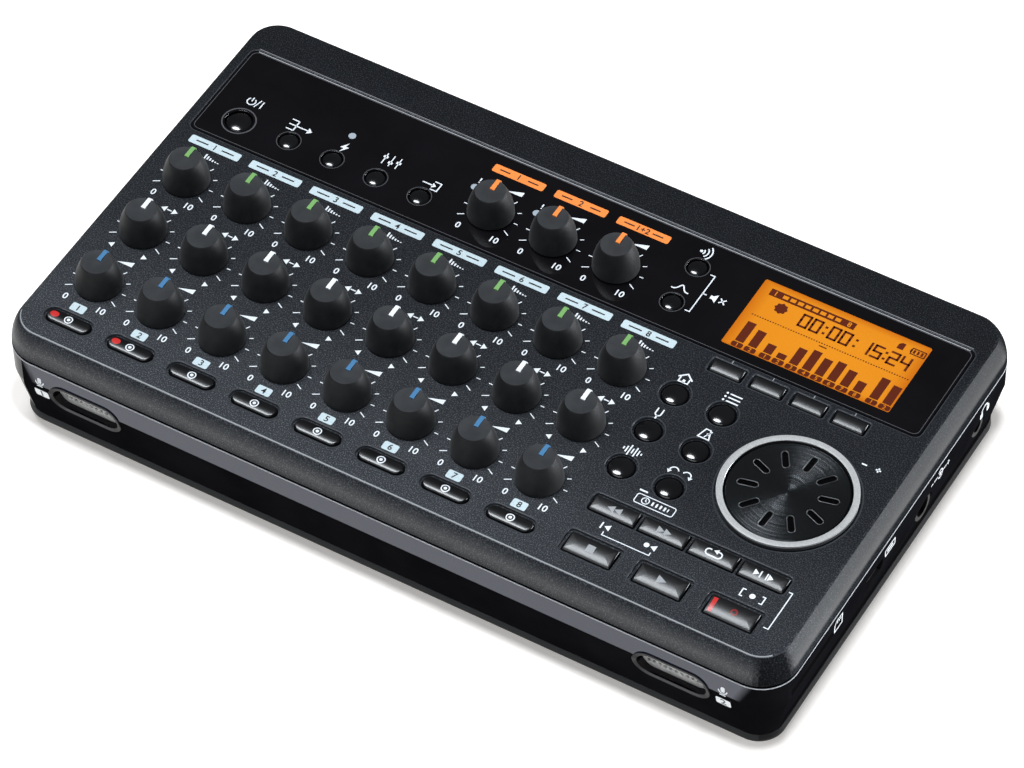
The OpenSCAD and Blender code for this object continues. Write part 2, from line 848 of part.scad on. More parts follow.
// Sockets

// A block under the board with a round nose that reaches the wall, along +X from its own origin
module side_socket(w, nose_r, bore_r, bore_l) {
    nose_l = nose_x - body_x;
    difference() {
        union() {
            translate([-socket_l, -w/2, -w/2]) cube([socket_l, w, jack_drop + w/2]);
            translate([-1, 0, 0]) rotate([0, 90, 0]) cylinder(nose_l + 1, r = nose_r);
        }
        translate([-bore_l, 0, 0]) rotate([0, 90, 0]) cylinder(nose_l + bore_l + 1, r = bore_r);
    }
}

module phones_jack() {
    color("gray") translate([body_x, side_y[0], jack_z])
        side_socket(phones_w, phones_nose, phones_r, socket_l - 1);
}

module dc_inlet() {
    bore_l = 7;
    pin_x = -7.5;
    pin_l = 8;
    color("gray") translate([body_x, side_y[1], jack_z]) {
        side_socket(inlet_w, inlet_nose, inlet_r, bore_l);
        translate([pin_x, 0, 0]) rotate([0, 90, 0]) cylinder(pin_l, r = inlet_pin);
    }
}

module usb_socket() {
    w = usb_wd[0];
    h = usb_wd[1];
    shell_in = 7;
    shell_l = nose_x - body_x + shell_in - 0.4;
    floor_t = 2;
    tongue_in = 1.6;
    tongue_l = 5.5;
    tongue_t = 1;
    color("silver") translate([body_x - shell_in, side_y[2], board_u - h]) {
        difference() {
            translate([0, -w/2, 0]) cube([shell_l, w, h]);
            translate([floor_t, -w/2 + usb_wall, usb_wall])
                cube([shell_l, w - 2*usb_wall, h - 2*usb_wall]);
        }
        translate([floor_t - e, -w/2 + tongue_in, (h - tongue_t)/2])
            cube([tongue_l - e, w - 2*tongue_in, tongue_t]);
    }
}

module card_socket() {
    w = card_wd[0];
    h = card_wd[1];
    stop_x = 4;
    mouth_out = 1.2;
    color("silver") translate([body_x + mouth_out - card_l, side_y[3], board_u - h]) difference() {
        translate([0, -w/2, 0]) cube([card_l, w, h]);
        translate([stop_x, -card_slot[0]/2, (h - card_slot[1])/2])
            cube([card_l, card_slot[0], card_slot[1]]);
    }
}

module combo_input_jacks() {
    face_y = rear - 1.2;
    floor_top = base_z + wall;
    color("gray") for (x = input_at) translate([x, 0, input_z]) difference() {
        union() {
            translate([-input_body/2, rear_face - input_l, floor_top - input_z])
                cube([input_body, input_l, input_h]);
            translate([0, face_y, 0]) rotate([90, 0, 0]) cylinder(face_y - rear_face + 1, r = input_nose);
        }
        translate([0, face_y + 1, 0]) rotate([90, 0, 0]) {
            cylinder(guide_l + 1, r = guide_r);
            cylinder(guide_l + plug_l + 1, r = input_r);
            for (a = [30, 150, 270]) rotate(a) translate([contact_ring, 0, 0])
                cylinder(guide_l + contact_l, r = contact_r);
        }
    }
}

module line_out_jacks() {
    face_y = rear - 0.8;
    low = 6;
    pin_deep = 14;
    color("gray") for (x = out_at) translate([x, 0, jack_z]) difference() {
        union() {
            translate([-out_w/2, rear_face - socket_l, -low]) cube([out_w, socket_l + e, jack_drop + low]);
            translate([0, face_y, 0]) rotate([90, 0, 0]) cylinder(face_y - rear_face, r = out_nose);
        }
        translate([0, face_y + 1, 0]) rotate([90, 0, 0]) {
            difference() {
                cylinder(well_l + 1, r = out_well);
                cylinder(well_l + 2, r = sleeve_r);
            }
            cylinder(pin_deep, r = out_pin);
        }
    }
}

module mic_capsules() {
    color("silver") for (x = mic_at) translate([x, grille_y + grille_t, mic_z]) rotate([-90, 0, 0])
        cylinder(capsule_l, r = capsule_r);
}

module mic_grilles() {
    pitch = 1.5;
    n = floor((mic_l - 3)/pitch/2);
    color("darkkhaki") for (x = mic_at) translate([x, grille_y + grille_t, mic_z]) rotate([90, 0, 0])
        linear_extrude(grille_t) difference() {
            stadium(mic_l + 2*grille_rim, mic_h + 2*grille_rim);
            for (i = [-n:n]) for (j = [-1:1]) translate([i*pitch, j*pitch]) circle(0.5);
        }
}

// Battery bay and fastenings

module battery_door() {
    w = bay_l + 2*rim_w - 2*door_gap;
    y0 = bay_y - bay_w/2 - rim_w + door_gap;
    color("black") {
        difference() {
            translate([bay_x - w/2, y0, base_z]) cube([w, barrel_y - y0, door_t]);
            for (i = [0:4]) translate([bay_x - 8, y0 + 5 + 2*i, base_z - 0.5]) cube([16, 1, 0.9]);
        }
        translate([bay_x, barrel_y, barrel_z]) rotate([0, 90, 0]) {
            cylinder(w, r = barrel_r, center = true);
            cylinder(w + 2*door_gap + 2*pin_l, r = hinge_r, center = true);
        }
    }
}

module battery_contacts() {
    cell_pitch = bay_w/cells;
    z = (base_z + door_t + bay_top)/2;
    color("silver") for (i = [0:cells-1]) for (s = [0, 1])
        translate([bay_x, bay_y + (i - (cells - 1)/2)*cell_pitch, z]) mirror([s, 0, 0])
            translate([bay_l/2, 0, 0]) rotate([0, -90, 0]) {
                translate([-contact_w/2, -contact_w/2, 0]) cube([contact_w, contact_w, contact_t]);
                cylinder(contact_t + 1.2, r1 = 3.4, r2 = 1.4);
            }
}

module case_screws() {
    color("silver") at(post_at) {
        translate([0, 0, head_z + head_h - e]) cylinder(screw_top - head_z - head_h + e, r = screw_r);
        difference() {
            translate([0, 0, head_z]) cylinder(head_h, r = head_r);
            for (a = [0, 90]) rotate(a)
                translate([-drive_l/2, -drive_w/2, head_z - drive_w]) cube([drive_l, drive_w, 2*drive_w]);
        }
    }
}

module rubber_feet() {
    color("black") at(foot_at) rotate_extrude()
        polygon([[0, 0], [foot_r - 0.6, 0], [foot_r, 0.6], [foot_r, base_z + foot_seat],
                 [0, base_z + foot_seat]]);
}

top_cover();
bottom_cover();
display_panel();
lcd_module();
main_board();
for (i = [1:tracks]) dial(col_x(i - 1), rows[0]);
for (i = [1:tracks]) dial(col_x(i - 1), rows[1]);
for (i = [1:tracks]) dial(col_x(i - 1), rows[2]);
dial(trim_xs[0], trim_y);  // input_a_trim_knob
dial(trim_xs[1], trim_y);  // input_b_trim_knob
dial(trim_xs[2], trim_y);  // master_level_knob
data_wheel();
power_button();
trans_key(0);  // stop_key
trans_key(1);  // play_key
trans_key(2);  // record_key
strip_key(0);  // rewind_key
strip_key(1);  // forward_key
strip_key(2);  // repeat_key
strip_key(3);  // in_out_key
track_arm_keys();
menu_buttons();
panel_buttons();
soft_keys();
potentiometers();
tact_switches();
indicator_leds();
combo_input_jacks();
line_out_jacks();
phones_jack();
dc_inlet();
usb_socket();
card_socket();
mic_capsules();
mic_grilles();
battery_door();
battery_contacts();
case_screws();
rubber_feet();
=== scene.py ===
# Looks of a tabletop multitrack recorder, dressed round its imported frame.
# Blender works in metres; sizes in the dictionaries below are millimetres.
import math

import bmesh
import bpy
import numpy as np
from mathutils import Matrix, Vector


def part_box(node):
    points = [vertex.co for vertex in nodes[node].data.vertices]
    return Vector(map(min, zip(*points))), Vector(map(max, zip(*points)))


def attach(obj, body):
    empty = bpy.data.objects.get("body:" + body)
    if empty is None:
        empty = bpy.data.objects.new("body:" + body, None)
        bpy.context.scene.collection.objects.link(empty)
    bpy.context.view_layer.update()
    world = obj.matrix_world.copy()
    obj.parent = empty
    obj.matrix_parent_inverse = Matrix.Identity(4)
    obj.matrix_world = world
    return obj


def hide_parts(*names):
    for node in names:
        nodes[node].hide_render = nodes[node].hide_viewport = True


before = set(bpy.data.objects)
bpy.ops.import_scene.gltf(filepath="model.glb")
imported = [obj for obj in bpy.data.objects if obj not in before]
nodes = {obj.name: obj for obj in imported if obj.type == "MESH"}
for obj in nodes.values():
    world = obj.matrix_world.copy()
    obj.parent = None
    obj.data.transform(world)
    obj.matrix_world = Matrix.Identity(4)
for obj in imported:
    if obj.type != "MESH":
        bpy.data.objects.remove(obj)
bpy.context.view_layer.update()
mm = 0.001


def mathNode(operation, swapped=False):
    def work(wire, other):
        return wire.sum(operation, other, wire) if swapped else wire.sum(operation, wire, other)
    return work


class Wire:  # a socket in a material; sums on wires add Math nodes
    def __init__(self, tree, socket=None):
        self.tree = tree
        self.socket = socket

    def node(self, kind, inputs=None, out=0, stops=None, **settings):
        made = self.tree.nodes.new("ShaderNode" + kind)
        for name, value in settings.items():
            setattr(made, name, value)
        for i, (at, shade) in enumerate(stops or []):
            element = made.color_ramp.elements[i] if i < 2 else made.color_ramp.elements.new(at)
            element.position = at
            element.color = (*shade, 1) if hasattr(shade, "__len__") else (shade, shade, shade, 1)
        for key, value in (inputs or {}).items():
            if isinstance(value, Wire):
                self.tree.links.new(value.socket, made.inputs[key])
            else:
                made.inputs[key].default_value = value
        return Wire(self.tree, made.outputs[out])

    def sum(self, operation, *values):
        return self.node("Math", dict(enumerate(values)), operation=operation)

    __add__ = __radd__ = mathNode("ADD")
    __mul__ = __rmul__ = mathNode("MULTIPLY")
    __sub__, __rsub__ = mathNode("SUBTRACT"), mathNode("SUBTRACT", swapped=True)
    __gt__, __lt__ = mathNode("GREATER_THAN"), mathNode("LESS_THAN")

    def parts(self):
        return [self.node("SeparateXYZ", {0: self}, out=i) for i in range(3)]

    def blend(self, low, high):  # low where this wire is 0, high where it is 1
        sockets = {0: self, 6: low, 7: high}
        return self.node("Mix", sockets, out=2, data_type="RGBA")


def newFinish(name, sockets):
    made = bpy.data.materials.new(name)
    made.use_nodes = True
    shader = made.node_tree.nodes["Principled BSDF"]
    for socket, value in sockets.items():
        shader.inputs[socket].default_value = (*value, 1) if hasattr(value, "__len__") else value
    return made, Wire(made.node_tree), shader.inputs


def feed(wire, socket):
    wire.tree.links.new(wire.socket, socket)


def places(start):
    return start.node("TexCoord", out="Object")


def grain(start, size, detail=2.0):  # cloudy noise whose spots are about this wide
    sockets = {"Vector": places(start), "Scale": 1 / (size*mm), "Detail": detail}
    return start.node("TexNoise", sockets)


def relief(start, height, depth, strength=1.0):  # a bump of that depth, for a Normal socket
    return start.node("Bump", {"Height": height, "Distance": depth*mm, "Strength": strength})


def facing(start):  # how far a face looks across, to the rear and up
    return start.node("NewGeometry", out="True Normal").parts()


def shade(start, wire, *stops):
    return start.node("ValToRGB", {0: wire}, stops=stops)


def tint(colour, factor):
    return tuple(factor*c for c in colour)


# Finishes

moulded = {
    "colour": (0.0108, 0.0119, 0.0138), "fleck": (0.050, 0.053, 0.059), "grain": 0.30, "rough": 0.46,
    "half": (110, 65),  # half the width and half the depth
    "front": 2.15,  # the colour at the front edge, in times of the base colour; painted light, paler toward the front
    "flat": 0.72,  # faces that look up more than this are the top, the others the rolled edge
    # the crease colour is a painted highlight along the front crease
    "creaseZ": 35.25, "crease": (0.24, 0.25, 0.26, 1), "seamShadowZ": 27.4, "seam": (0.0008, 0.0008, 0.0009, 1),
    "rollFoot": 26.7, "rollRadius": 15.37,
}


def coverPlastic():
    # fine pale flecks on charcoal; painted light makes the colour paler from rear to front as the
    # photograph's light does, less so on the right, and painted shade darkens the rolled edge in the right
    # front corner; the crease has a painted highlight, the seam a painted black shadow line, and the rolled
    # edge has a polish fitted to the photograph's highlights
    m = moulded
    made, start, to = newFinish("coverPlastic", {"Specular IOR Level": 0.0, "Coat Roughness": 0.42})
    fleck = shade(start, grain(start, m["grain"], 1.0), (0.52, 0.0), (0.74, 1.0))
    mottle = shade(start, grain(start, 9.0, 4.0), (0.3, 0.86), (0.7, 1.0))
    flecked = fleck.blend((*m["colour"], 1), (*m["fleck"], 1))
    colour = start.node("Mix", {0: 1.0, 6: flecked, 7: mottle}, out=2, data_type="RGBA",
                        blend_type="MULTIPLY")
    across, deep, tilt = facing(start)
    x, y, z = places(start).parts()
    # painted shadow: below this height the cover is black, a shadow line along the seam
    flat, above = tilt > m["flat"], z > m["seamShadowZ"]*mm

    halfX, halfY = m["half"]
    ahead = (halfY*mm - y)*(1/(2*halfY*mm))  # 0 at the rear, 1 at the front
    right = (x + halfX*mm)*(1/(2*halfX*mm))  # 0 at the left, 1 at the right
    # painted light: the colour grows paler toward the front, less so on the right
    lessLitRight = shade(start, ahead, (0.3, 0.0), (0.6, 0.26))*shade(start, right, (0.60, 0.0), (0.80, 1.0))
    paler = m["front"]*shade(start, ahead, (0.08, 0.31), (0.63, 0.57), (0.88, 1.0))*(1.0 - lessLitRight)
    # painted shade: the rolled edge is darker in the right front corner
    corner = shade(start, across, (0.20, 0.0), (0.45, 0.62))*shade(start, -1.0*deep, (0.12, 0.0), (0.35, 1.0))
    pale = flat.blend(start.sum("MINIMUM", paler, 1.5)*(1.0 - corner), paler)
    lit = start.node("VectorMath", {0: colour, "Scale": pale}, operation="SCALE")
    # painted highlight: the crease along the front is pale
    crease = flat*(tilt < 0.985)*(z > m["creaseZ"]*mm)*(across < 0.35)*(deep < -0.15)

    climb = (z - m["rollFoot"]*mm)*(1/(m["rollRadius"]*mm))  # the sine of the roll's slope at this height
    frontRoll = shade(start, climb, (0.0, 0.0), (0.14, 0.55), (0.27, 1.0), (0.42, 0.55), (0.55, 0.0))
    sideRoll = shade(start, climb, (0.15, 0.0), (0.22, 1.0), (0.30, 0.94), (0.42, 0.62), (0.56, 0.34))
    onSide = (across > 0.3)*shade(start, 0.5 + 0.5*deep, (0.35, 0.0), (0.46, 1.0), (0.57, 1.0), (0.70, 0.0))
    polish = frontRoll*shade(start, across, (0.15, 1.0), (0.45, 0.0)) + sideRoll*(0.86 - 2.4*y)*onSide

    feed(above.blend(m["seam"], crease.blend(lit, m["crease"])), to["Base Color"])
    feed(m["rough"] + 0.08*grain(start, 1.2) - 0.16*crease, to["Roughness"])
    feed(above*flat.blend(polish, paler*(0.2 + 0.6*fleck)), to["Coat Weight"])
    feed(relief(start, grain(start, m["grain"], 3.0), 0.035, 0.55), to["Normal"])
    return made


def glossPlastic(name, colour, rough, ripple, gloss=0.55, coat=0.35):
    # polished moulding: faint flow marks and a breath of dust in the roughness
    made, start, to = newFinish(name, {"Specular IOR Level": gloss, "Coat Weight": coat,
                                       "Coat Roughness": 0.03})
    cloud = grain(start, 14.0, 3.0)
    feed(shade(start, cloud, (0.35, tint(colour, 0.8)), (0.75, tint(colour, 1.3))), to["Base Color"])
    feed(rough + 0.05*grain(start, 0.9, 4.0), to["Roughness"])
    feed(relief(start, grain(start, 5.0, 1.0), ripple, 0.3), to["Normal"])
    return made


def upLitPlastic(name, colour, top=18.4):
    # black, with painted light: a dull gray on faces that look up below a height, except those that look to
    # the right
    made, start, to = newFinish(name, {"Specular IOR Level": 0.1, "Roughness": 0.4})
    across, deep, tilt = facing(start)
    upward = tilt*(across < 0.45)*(places(start).parts()[2] < top*mm)
    feed(shade(start, upward, (0.0, (0.006, 0.006, 0.007)), (0.35, colour)), to["Base Color"])
    return made


tray = {
    "plain": ((0.0040, 0.0040, 0.0048), (0.0066, 0.0066, 0.0078)),
    "band": (19.75, 26.52), "bandReflectionTint": (0.001, 0.006, 0.028, 1),
    "ends": (101, 103.6), "slant": 0.45, "slantFrom": 26.5,  # the band stops aslant before the corners
    "floorZ": 18.6, "floorLightTint": (0.030, 0.027, 0.029, 1), "foot": 4.4, "rear": 50, "left": -90,
}


def trayPlastic():
    # black; the upright band along the front and the foot have a gloss coat, the rear and the left side half
    # as much; the band is tinted blue as a painted reflection, the floors of the slots are paler as painted
    # light, and the coats are fitted to the photograph's highlights
    t, width = tray, moulded["half"][0]
    made, start, to = newFinish("trayPlastic", {"Specular IOR Level": 0.0, "Coat Roughness": 0.04})
    x, y, z = places(start).parts()
    across, deep, tilt = facing(start)
    reach = (start.sum("ABSOLUTE", x) + t["slant"]*(t["slantFrom"]*mm - z))*(1/(width*mm))
    ahead = shade(start, reach, (t["ends"][0]/width, 1.0), (t["ends"][1]/width, 0.0))
    polished = (z > t["band"][0]*mm)*(z < t["band"][1]*mm)*(deep < -0.5)*ahead
    away = start.sum("MAXIMUM", (deep > 0.3)*(y > t["rear"]*mm), (across < -0.3)*(x < t["left"]*mm))
    plain = shade(start, grain(start, 14.0, 3.0), (0.35, t["plain"][0]), (0.75, t["plain"][1]))
    # painted light: faces that look up below floorZ, the floors of the slots, are paler
    floorLit = ((tilt > 0.3)*(z < t["floorZ"]*mm)).blend(plain, t["floorLightTint"])
    # painted reflection: the polished band is tinted blue
    feed(polished.blend(floorLit, t["bandReflectionTint"]), to["Base Color"])
    feed(0.10 + 0.06*grain(start, 0.9, 4.0), to["Roughness"])
    feed(start.sum("MINIMUM", polished + 1.0*(z < t["foot"]*mm) + 0.5*away, 1.0), to["Coat Weight"])
    return made


# the head's greyer colour is painted light on the faces that look up
touch = {"side": ((0.0036, 0.0038, 0.0041), (0.0070, 0.0073, 0.0077)),
         "head": ((0.0205, 0.0215, 0.0235), (0.0285, 0.0295, 0.0315))}


def softTouch():
    # rubbery coat: very fine tooth; painted light makes the head, which looks up, greyer than the side
    made, start, to = newFinish("softTouch", {"Specular IOR Level": 0.29, "Sheen Weight": 0.06,
                                              "Sheen Roughness": 0.45})
    side = shade(start, grain(start, 2.2, 5.0), (0.3, touch["side"][0]), (0.75, touch["side"][1]))
    head = shade(start, grain(start, 3.5, 3.0), (0.35, touch["head"][0]), (0.7, touch["head"][1]))
    up = shade(start, start.node("NewGeometry", out="Normal").parts()[2], (0.75, 0.0), (0.97, 1.0))
    feed(up.blend(side, head), to["Base Color"])
    feed(0.50 + 0.12*grain(start, 0.6, 3.0), to["Roughness"])
    feed(relief(start, grain(start, 0.18, 2.0), 0.02, 0.5), to["Normal"])
    return made


def ink(name, colour, rough=0.45, glow=0.0):
    # screen print: a solid film, thinner in tiny pin holes; some of these inks paint highlights as thin lines
    made, start, to = newFinish(name, {"Roughness": rough, "Emission Strength": glow,
                                       "Emission Color": colour})
    feed(shade(start, grain(start, 0.35, 2.0), (0.28, tint(colour, 0.80)), (0.46, colour)), to["Base Color"])
    return made


def metal(name, colour, rough, along=(1, 1, 1)):
    # drawn or brushed metal: streaks longer along one way
    made, start, to = newFinish(name, {"Metallic": 1.0})
    spread = start.node("Mapping", {"Vector": places(start), "Scale": along})
    streak = start.node("TexNoise", {"Vector": spread, "Scale": 2600.0, "Detail": 3.0})
    feed(shade(start, streak, (0.3, tint(colour, 0.82)), (0.7, colour)), to["Base Color"])
    feed(rough + 0.14*streak, to["Roughness"])
    return made


wheel = {"centre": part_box("data_wheel"), "ringFrom": 15.72, "slotFloor": 35.95, "lean": 2.3,
         "disc": (0.062, 0.067, 0.071), "ring": (0.20, 0.20, 0.21), "slot": (0.003, 0.003, 0.0035)}


def turnedWheel():
    # a lathe-turned disc: each fine circle leans in or out by its own amount, so light fans out
    made, start, to = newFinish("turnedWheel", {"Metallic": 0.95})
    middle = (wheel["centre"][0] + wheel["centre"][1])/2
    offset = start.node("VectorMath", {0: places(start), 1: (middle.x, middle.y, 0)}, operation="SUBTRACT")
    flat = start.node("VectorMath", {0: offset, 1: (1, 1, 0)}, operation="MULTIPLY")
    reach = start.node("VectorMath", {0: flat}, out="Value", operation="LENGTH")
    outward = start.node("VectorMath", {0: flat}, operation="NORMALIZE")
    circles = start.node("TexNoise", {"W": reach*(1/mm), "Scale": 7.0, "Detail": 4.0, "Roughness": 0.8},
                         noise_dimensions="1D")
    normal = start.node("NewGeometry", out="Normal")
    lean = start.node("VectorMath", {0: outward, 3: wheel["lean"]*(circles - 0.5)}, operation="SCALE")
    turned = start.node("VectorMath", {0: start.node("VectorMath", {0: normal, 1: lean}, operation="ADD")},
                        operation="NORMALIZE")
    ring = reach > wheel["ringFrom"]*mm
    onTop = normal.parts()[2] > 0.9
    raised = places(start).parts()[2] > wheel["slotFloor"]*mm
    toned = raised.blend((*wheel["slot"], 1), (*wheel["disc"], 1))
    feed(ring.blend(toned, (*wheel["ring"], 1)), to["Base Color"])
    feed(0.23 + 0.30*(1 - raised), to["Roughness"])
    feed((onTop*(1 - ring)).blend(normal, turned), to["Normal"])
    return made


def wovenMesh():
    # wires over and under: two sine waves crossed, raised where each wire is on top
    made, start, to = newFinish("wovenMesh", {"Metallic": 0.0})
    x, z = places(start).parts()[::2]
    pitch = 2*math.pi/(0.46*mm)  # one wave over and under in 0.46 mm
    weave = start.sum("SINE", x*pitch) * start.sum("SINE", z*pitch)
    tone = shade(start, 0.5 + 0.5*weave, (0.15, (0.34, 0.34, 0.33)), (0.75, (0.96, 0.96, 0.94)))
    feed(tone, to["Base Color"])
    feed(0.34 + 0.1*grain(start, 0.4), to["Roughness"])
    feed(relief(start, weave, 0.12, 0.9), to["Normal"])
    return made


def boardFinish():
    # green mask over copper tracks: a grid of fine lines, lighter where copper lies under it
    made, start, to = newFinish("boardMask", {"Roughness": 0.35, "Coat Weight": 0.3})
    x, y = places(start).parts()[:2]
    lines = (start.sum("SINE", x*2400.0) > 0.6) * (start.sum("SINE", y*310.0) > -0.2)
    feed(lines.blend((0.010, 0.090, 0.030, 1), (0.022, 0.17, 0.055, 1)), to["Base Color"])
    return made


def rimPlastic():
    # the cover's edges, a little glossier than the cover
    made, start, to = newFinish("rimPlastic", {"Specular IOR Level": 0.6})
    tone = shade(start, grain(start, 0.5, 3.0), (0.3, (0.019, 0.021, 0.025)), (0.7, (0.038, 0.042, 0.048)))
    feed(tone, to["Base Color"])
    feed(0.26 + 0.1*grain(start, 0.7, 2.0), to["Roughness"])
    return made


def ringMetal():
    # satin plated ring: fine hair lines under the plating
    made, start, to = newFinish("ringMetal", {"Metallic": 0.25, "Specular IOR Level": 0.4})
    streak = start.node("TexNoise", {"Vector": places(start), "Scale": 3200.0, "Detail": 3.0})
    feed(shade(start, streak, (0.3, (0.34, 0.34, 0.34)), (0.7, (0.46, 0.46, 0.45))), to["Base Color"])
    feed(0.40 + 0.12*streak, to["Roughness"])
    return made


def rubber():
    made, start, to = newFinish("footRubber", {"Specular IOR Level": 0.3})
    feed(shade(start, grain(start, 0.8, 4.0), (0.3, 0.012), (0.7, 0.03)), to["Base Color"])
    feed(0.75 + 0.1*grain(start, 0.5), to["Roughness"])
    feed(relief(start, grain(start, 0.3, 2.0), 0.04, 0.6), to["Normal"])
    return made


def litScreen(low, high):
    # backlight: brighter in the middle, with the faint grid of the display's dots
    made, start, to = newFinish("litScreen", {"Roughness": 0.22, "Emission Strength": 0.16,
                                              "Coat Weight": 0.2})
    x, y = places(start).parts()[:2]
    across = (x - (low[0] + high[0])/2)*(2/(high[0] - low[0]))
    deep = (y - (low[1] + high[1])/2)*(2/(high[1] - low[1]))
    fade = start.sum("MINIMUM", start.sum("MAXIMUM", across*across, deep*deep), 1.0)
    glow = shade(start, fade, (0.0, (0.54, 0.186, 0.0085)), (0.7, (0.515, 0.172, 0.0075)),
                 (1.0, (0.40, 0.100, 0.003)))
    pitch = 2*math.pi/(0.36*mm)  # one dot in 0.36 mm
    dots = (start.sum("SINE", x*pitch) > 0.93) + (start.sum("SINE", y*pitch) > 0.93)
    lit = (0.22*start.sum("MINIMUM", dots, 1.0)).blend(glow, (0.45, 0.10, 0.004, 1))
    feed(lit, to["Base Color"])
    feed(lit, to["Emission Color"])
    return made


finishes = {
    "cover": coverPlastic(),
    "tray": trayPlastic(),
    "panel": glossPlastic("panelGloss", (0.003, 0.0026, 0.0034), 0.035, 0.002),
    "key": glossPlastic("keyGloss", (0.004, 0.004, 0.0045), 0.29, 0.0004, 0.75, 0.04),
    "pill": glossPlastic("pillGloss", (0.004, 0.004, 0.0045), 0.27, 0.0004),
    "dome": glossPlastic("domeGloss", (0.004, 0.004, 0.0045), 0.12, 0.0004, 0.7, 0.6),
    "knob": softTouch(),
    "wheel": turnedWheel(),
    "white": ink("whitePrint", (0.68, 0.71, 0.74)),
    "silver": ink("silverPrint", (0.27, 0.28, 0.29)),
    "plate": ink("platePrint", (0.46, 0.55, 0.58)),
    "orange": ink("orangePrint", (0.80, 0.22, 0.045)),
    "dark": ink("darkPrint", (0.012, 0.012, 0.013)),
    "green": ink("greenPointer", (0.15, 0.32, 0.10)),
    "blue": ink("bluePointer", (0.045, 0.15, 0.29)),
    "red": ink("redLamp", (0.42, 0.022, 0.02), 0.3, 0.14),
    "dimRed": ink("redPrint", (0.22, 0.012, 0.012), 0.3),
    "segment": ink("screenSegment", (0.085, 0.013, 0.004), 0.3),
    "mesh": wovenMesh(),
    "steel": metal("drawnSteel", (0.60, 0.60, 0.61), 0.22, (1, 0.06, 1)),
    "zinc": metal("zincPlate", (0.50, 0.51, 0.52), 0.34),
    "lamp": ink("lampLens", (0.30, 0.34, 0.38), 0.12),
    "board": boardFinish(),
    "socket": glossPlastic("socketPlastic", (0.008, 0.008, 0.008), 0.4, 0.004, 0.1, 0.0),
    "scoop": upLitPlastic("upLitPlastic", (0.18, 0.18, 0.20)),
    "base": upLitPlastic("baseLitPlastic", (0.022, 0.025, 0.027)),
    "switch": ink("switchBody", (0.20, 0.20, 0.21)),
    # trim, faint, pale and halfPale paint highlights and reflections as thin lines
    "trim": ink("trimGlintLine", (0.065, 0.066, 0.070)),
    "faint": ink("faintRingGlint", (0.045, 0.047, 0.050)),
    "pale": ink("paleGlintLine", (0.30, 0.30, 0.31)),
    "halfPale": ink("halfPaleGlintLine", (0.19, 0.19, 0.20)),
    "rubber": rubber(),
    "rim": rimPlastic(),
    "edge": metal("slotEdge", (0.22, 0.225, 0.23), 0.32),
    # the seam lip's pale grey is a painted highlight
    "lip": ink("seamLipGlint", (0.46, 0.47, 0.50), 0.3),
    "bright": ringMetal(),
}
print("finishes:", len(finishes))

dressed = {
    "top_cover": "cover", "bottom_cover": "tray", "display_panel": "panel", "lcd_module": "orange",
    "main_board": "board", "potentiometers": "zinc", "tact_switches": "switch", "indicator_leds": "lamp",
    "combo_input_jacks": "socket", "line_out_jacks": "socket", "phones_jack": "socket", "dc_inlet": "socket",
    "usb_socket": "steel", "card_socket": "steel", "mic_capsules": "zinc", "mic_grilles": "mesh",
    "battery_contacts": "steel", "case_screws": "zinc", "rubber_feet": "rubber", "battery_door": "tray",
    "data_wheel": "wheel",
}
for name, node in nodes.items():
    wanted = dressed.get(name, "knob" if "knob" in name else "key")
    node.data.materials.clear()
    node.data.materials.append(finishes[wanted])


# Meshes worked out on grids

def gridFaces(rows, columns, closedRows=False, closedColumns=False):
    # quads between neighbouring points of a grid that is stored row by row
    r, c = np.meshgrid(np.arange(rows - (not closedRows)), np.arange(columns - (not closedColumns)),
                       indexing="ij")
    r, c = r.ravel(), c.ravel()
    r1, c1 = (r + 1) % rows, (c + 1) % columns
    return np.stack([r*columns + c, r*columns + c1, r1*columns + c1, r1*columns + c], 1).tolist()


def unit(v):
    return v/np.linalg.norm(v, axis=1, keepdims=True)


def ribs(left, right, low, high, closed=False):
    # a box section between two edges, rib by rib
    section = [(left, low), (right, low), (right, high), (left, high)]
    points = np.stack([np.column_stack([p, np.full(len(p), z)]) for p, z in section], 1).reshape(-1, 3)
    last = 4*(len(left) - 1)
    caps = [] if closed else [[0, 1, 2, 3], [last, last + 1, last + 2, last + 3]]
    return points, gridFaces(len(left), 4, closed, True) + caps


def padded(path, closed):
    # the path with a point more at each end, so that every point of it has two neighbours
    if closed:
        return np.vstack([path[-1:], path, path[:1]])
    return np.vstack([2*path[:1] - path[1:2], path, 2*path[-1:] - path[-2:-1]])


def strip(path, width, low, high, closed=False):
    # a box section carried along a flat path: each point moves half the width along its mitred normal
    path = np.asarray(path, float)
    ring = padded(path, closed)
    behind, ahead = unit(ring[1:-1] - ring[:-2]), unit(ring[2:] - ring[1:-1])
    along = unit(behind + ahead)
    normal = np.stack([-along[:, 1], along[:, 0]], 1)
    straight = np.stack([-ahead[:, 1], ahead[:, 0]], 1)
    side = normal*(width/2)/np.maximum((normal*straight).sum(1, keepdims=True), 0.5)
    return ribs(path + side, path - side, low, high, closed)


def prismFaces(n):
    # the sides and the two ends of a prism whose points are stored end by end
    return gridFaces(2, n, False, True) + [list(range(n)), list(range(n, 2*n))]


def slab(outline, low, high):
    # an outline lifted from one height to another
    outline = np.asarray(outline, float)
    n = len(outline)
    points = np.vstack([np.column_stack([outline, np.full(n, z)]) for z in (low, high)])
    return points, prismFaces(n)


def roundBox(w, h, r, x=0.0, y=0.0, steps=6):
    # corner arcs of a rounded rectangle, counter-clockwise
    turn = np.radians(np.linspace(0, 90, steps))
    arcs = [np.column_stack([sx*(w/2 - r) + r*np.cos(turn + q), sy*(h/2 - r) + r*np.sin(turn + q)])
            for q, sx, sy in ((0, 1, 1), (math.pi/2, -1, 1), (math.pi, -1, -1), (1.5*math.pi, 1, -1))]
    return np.vstack(arcs) + (x, y)


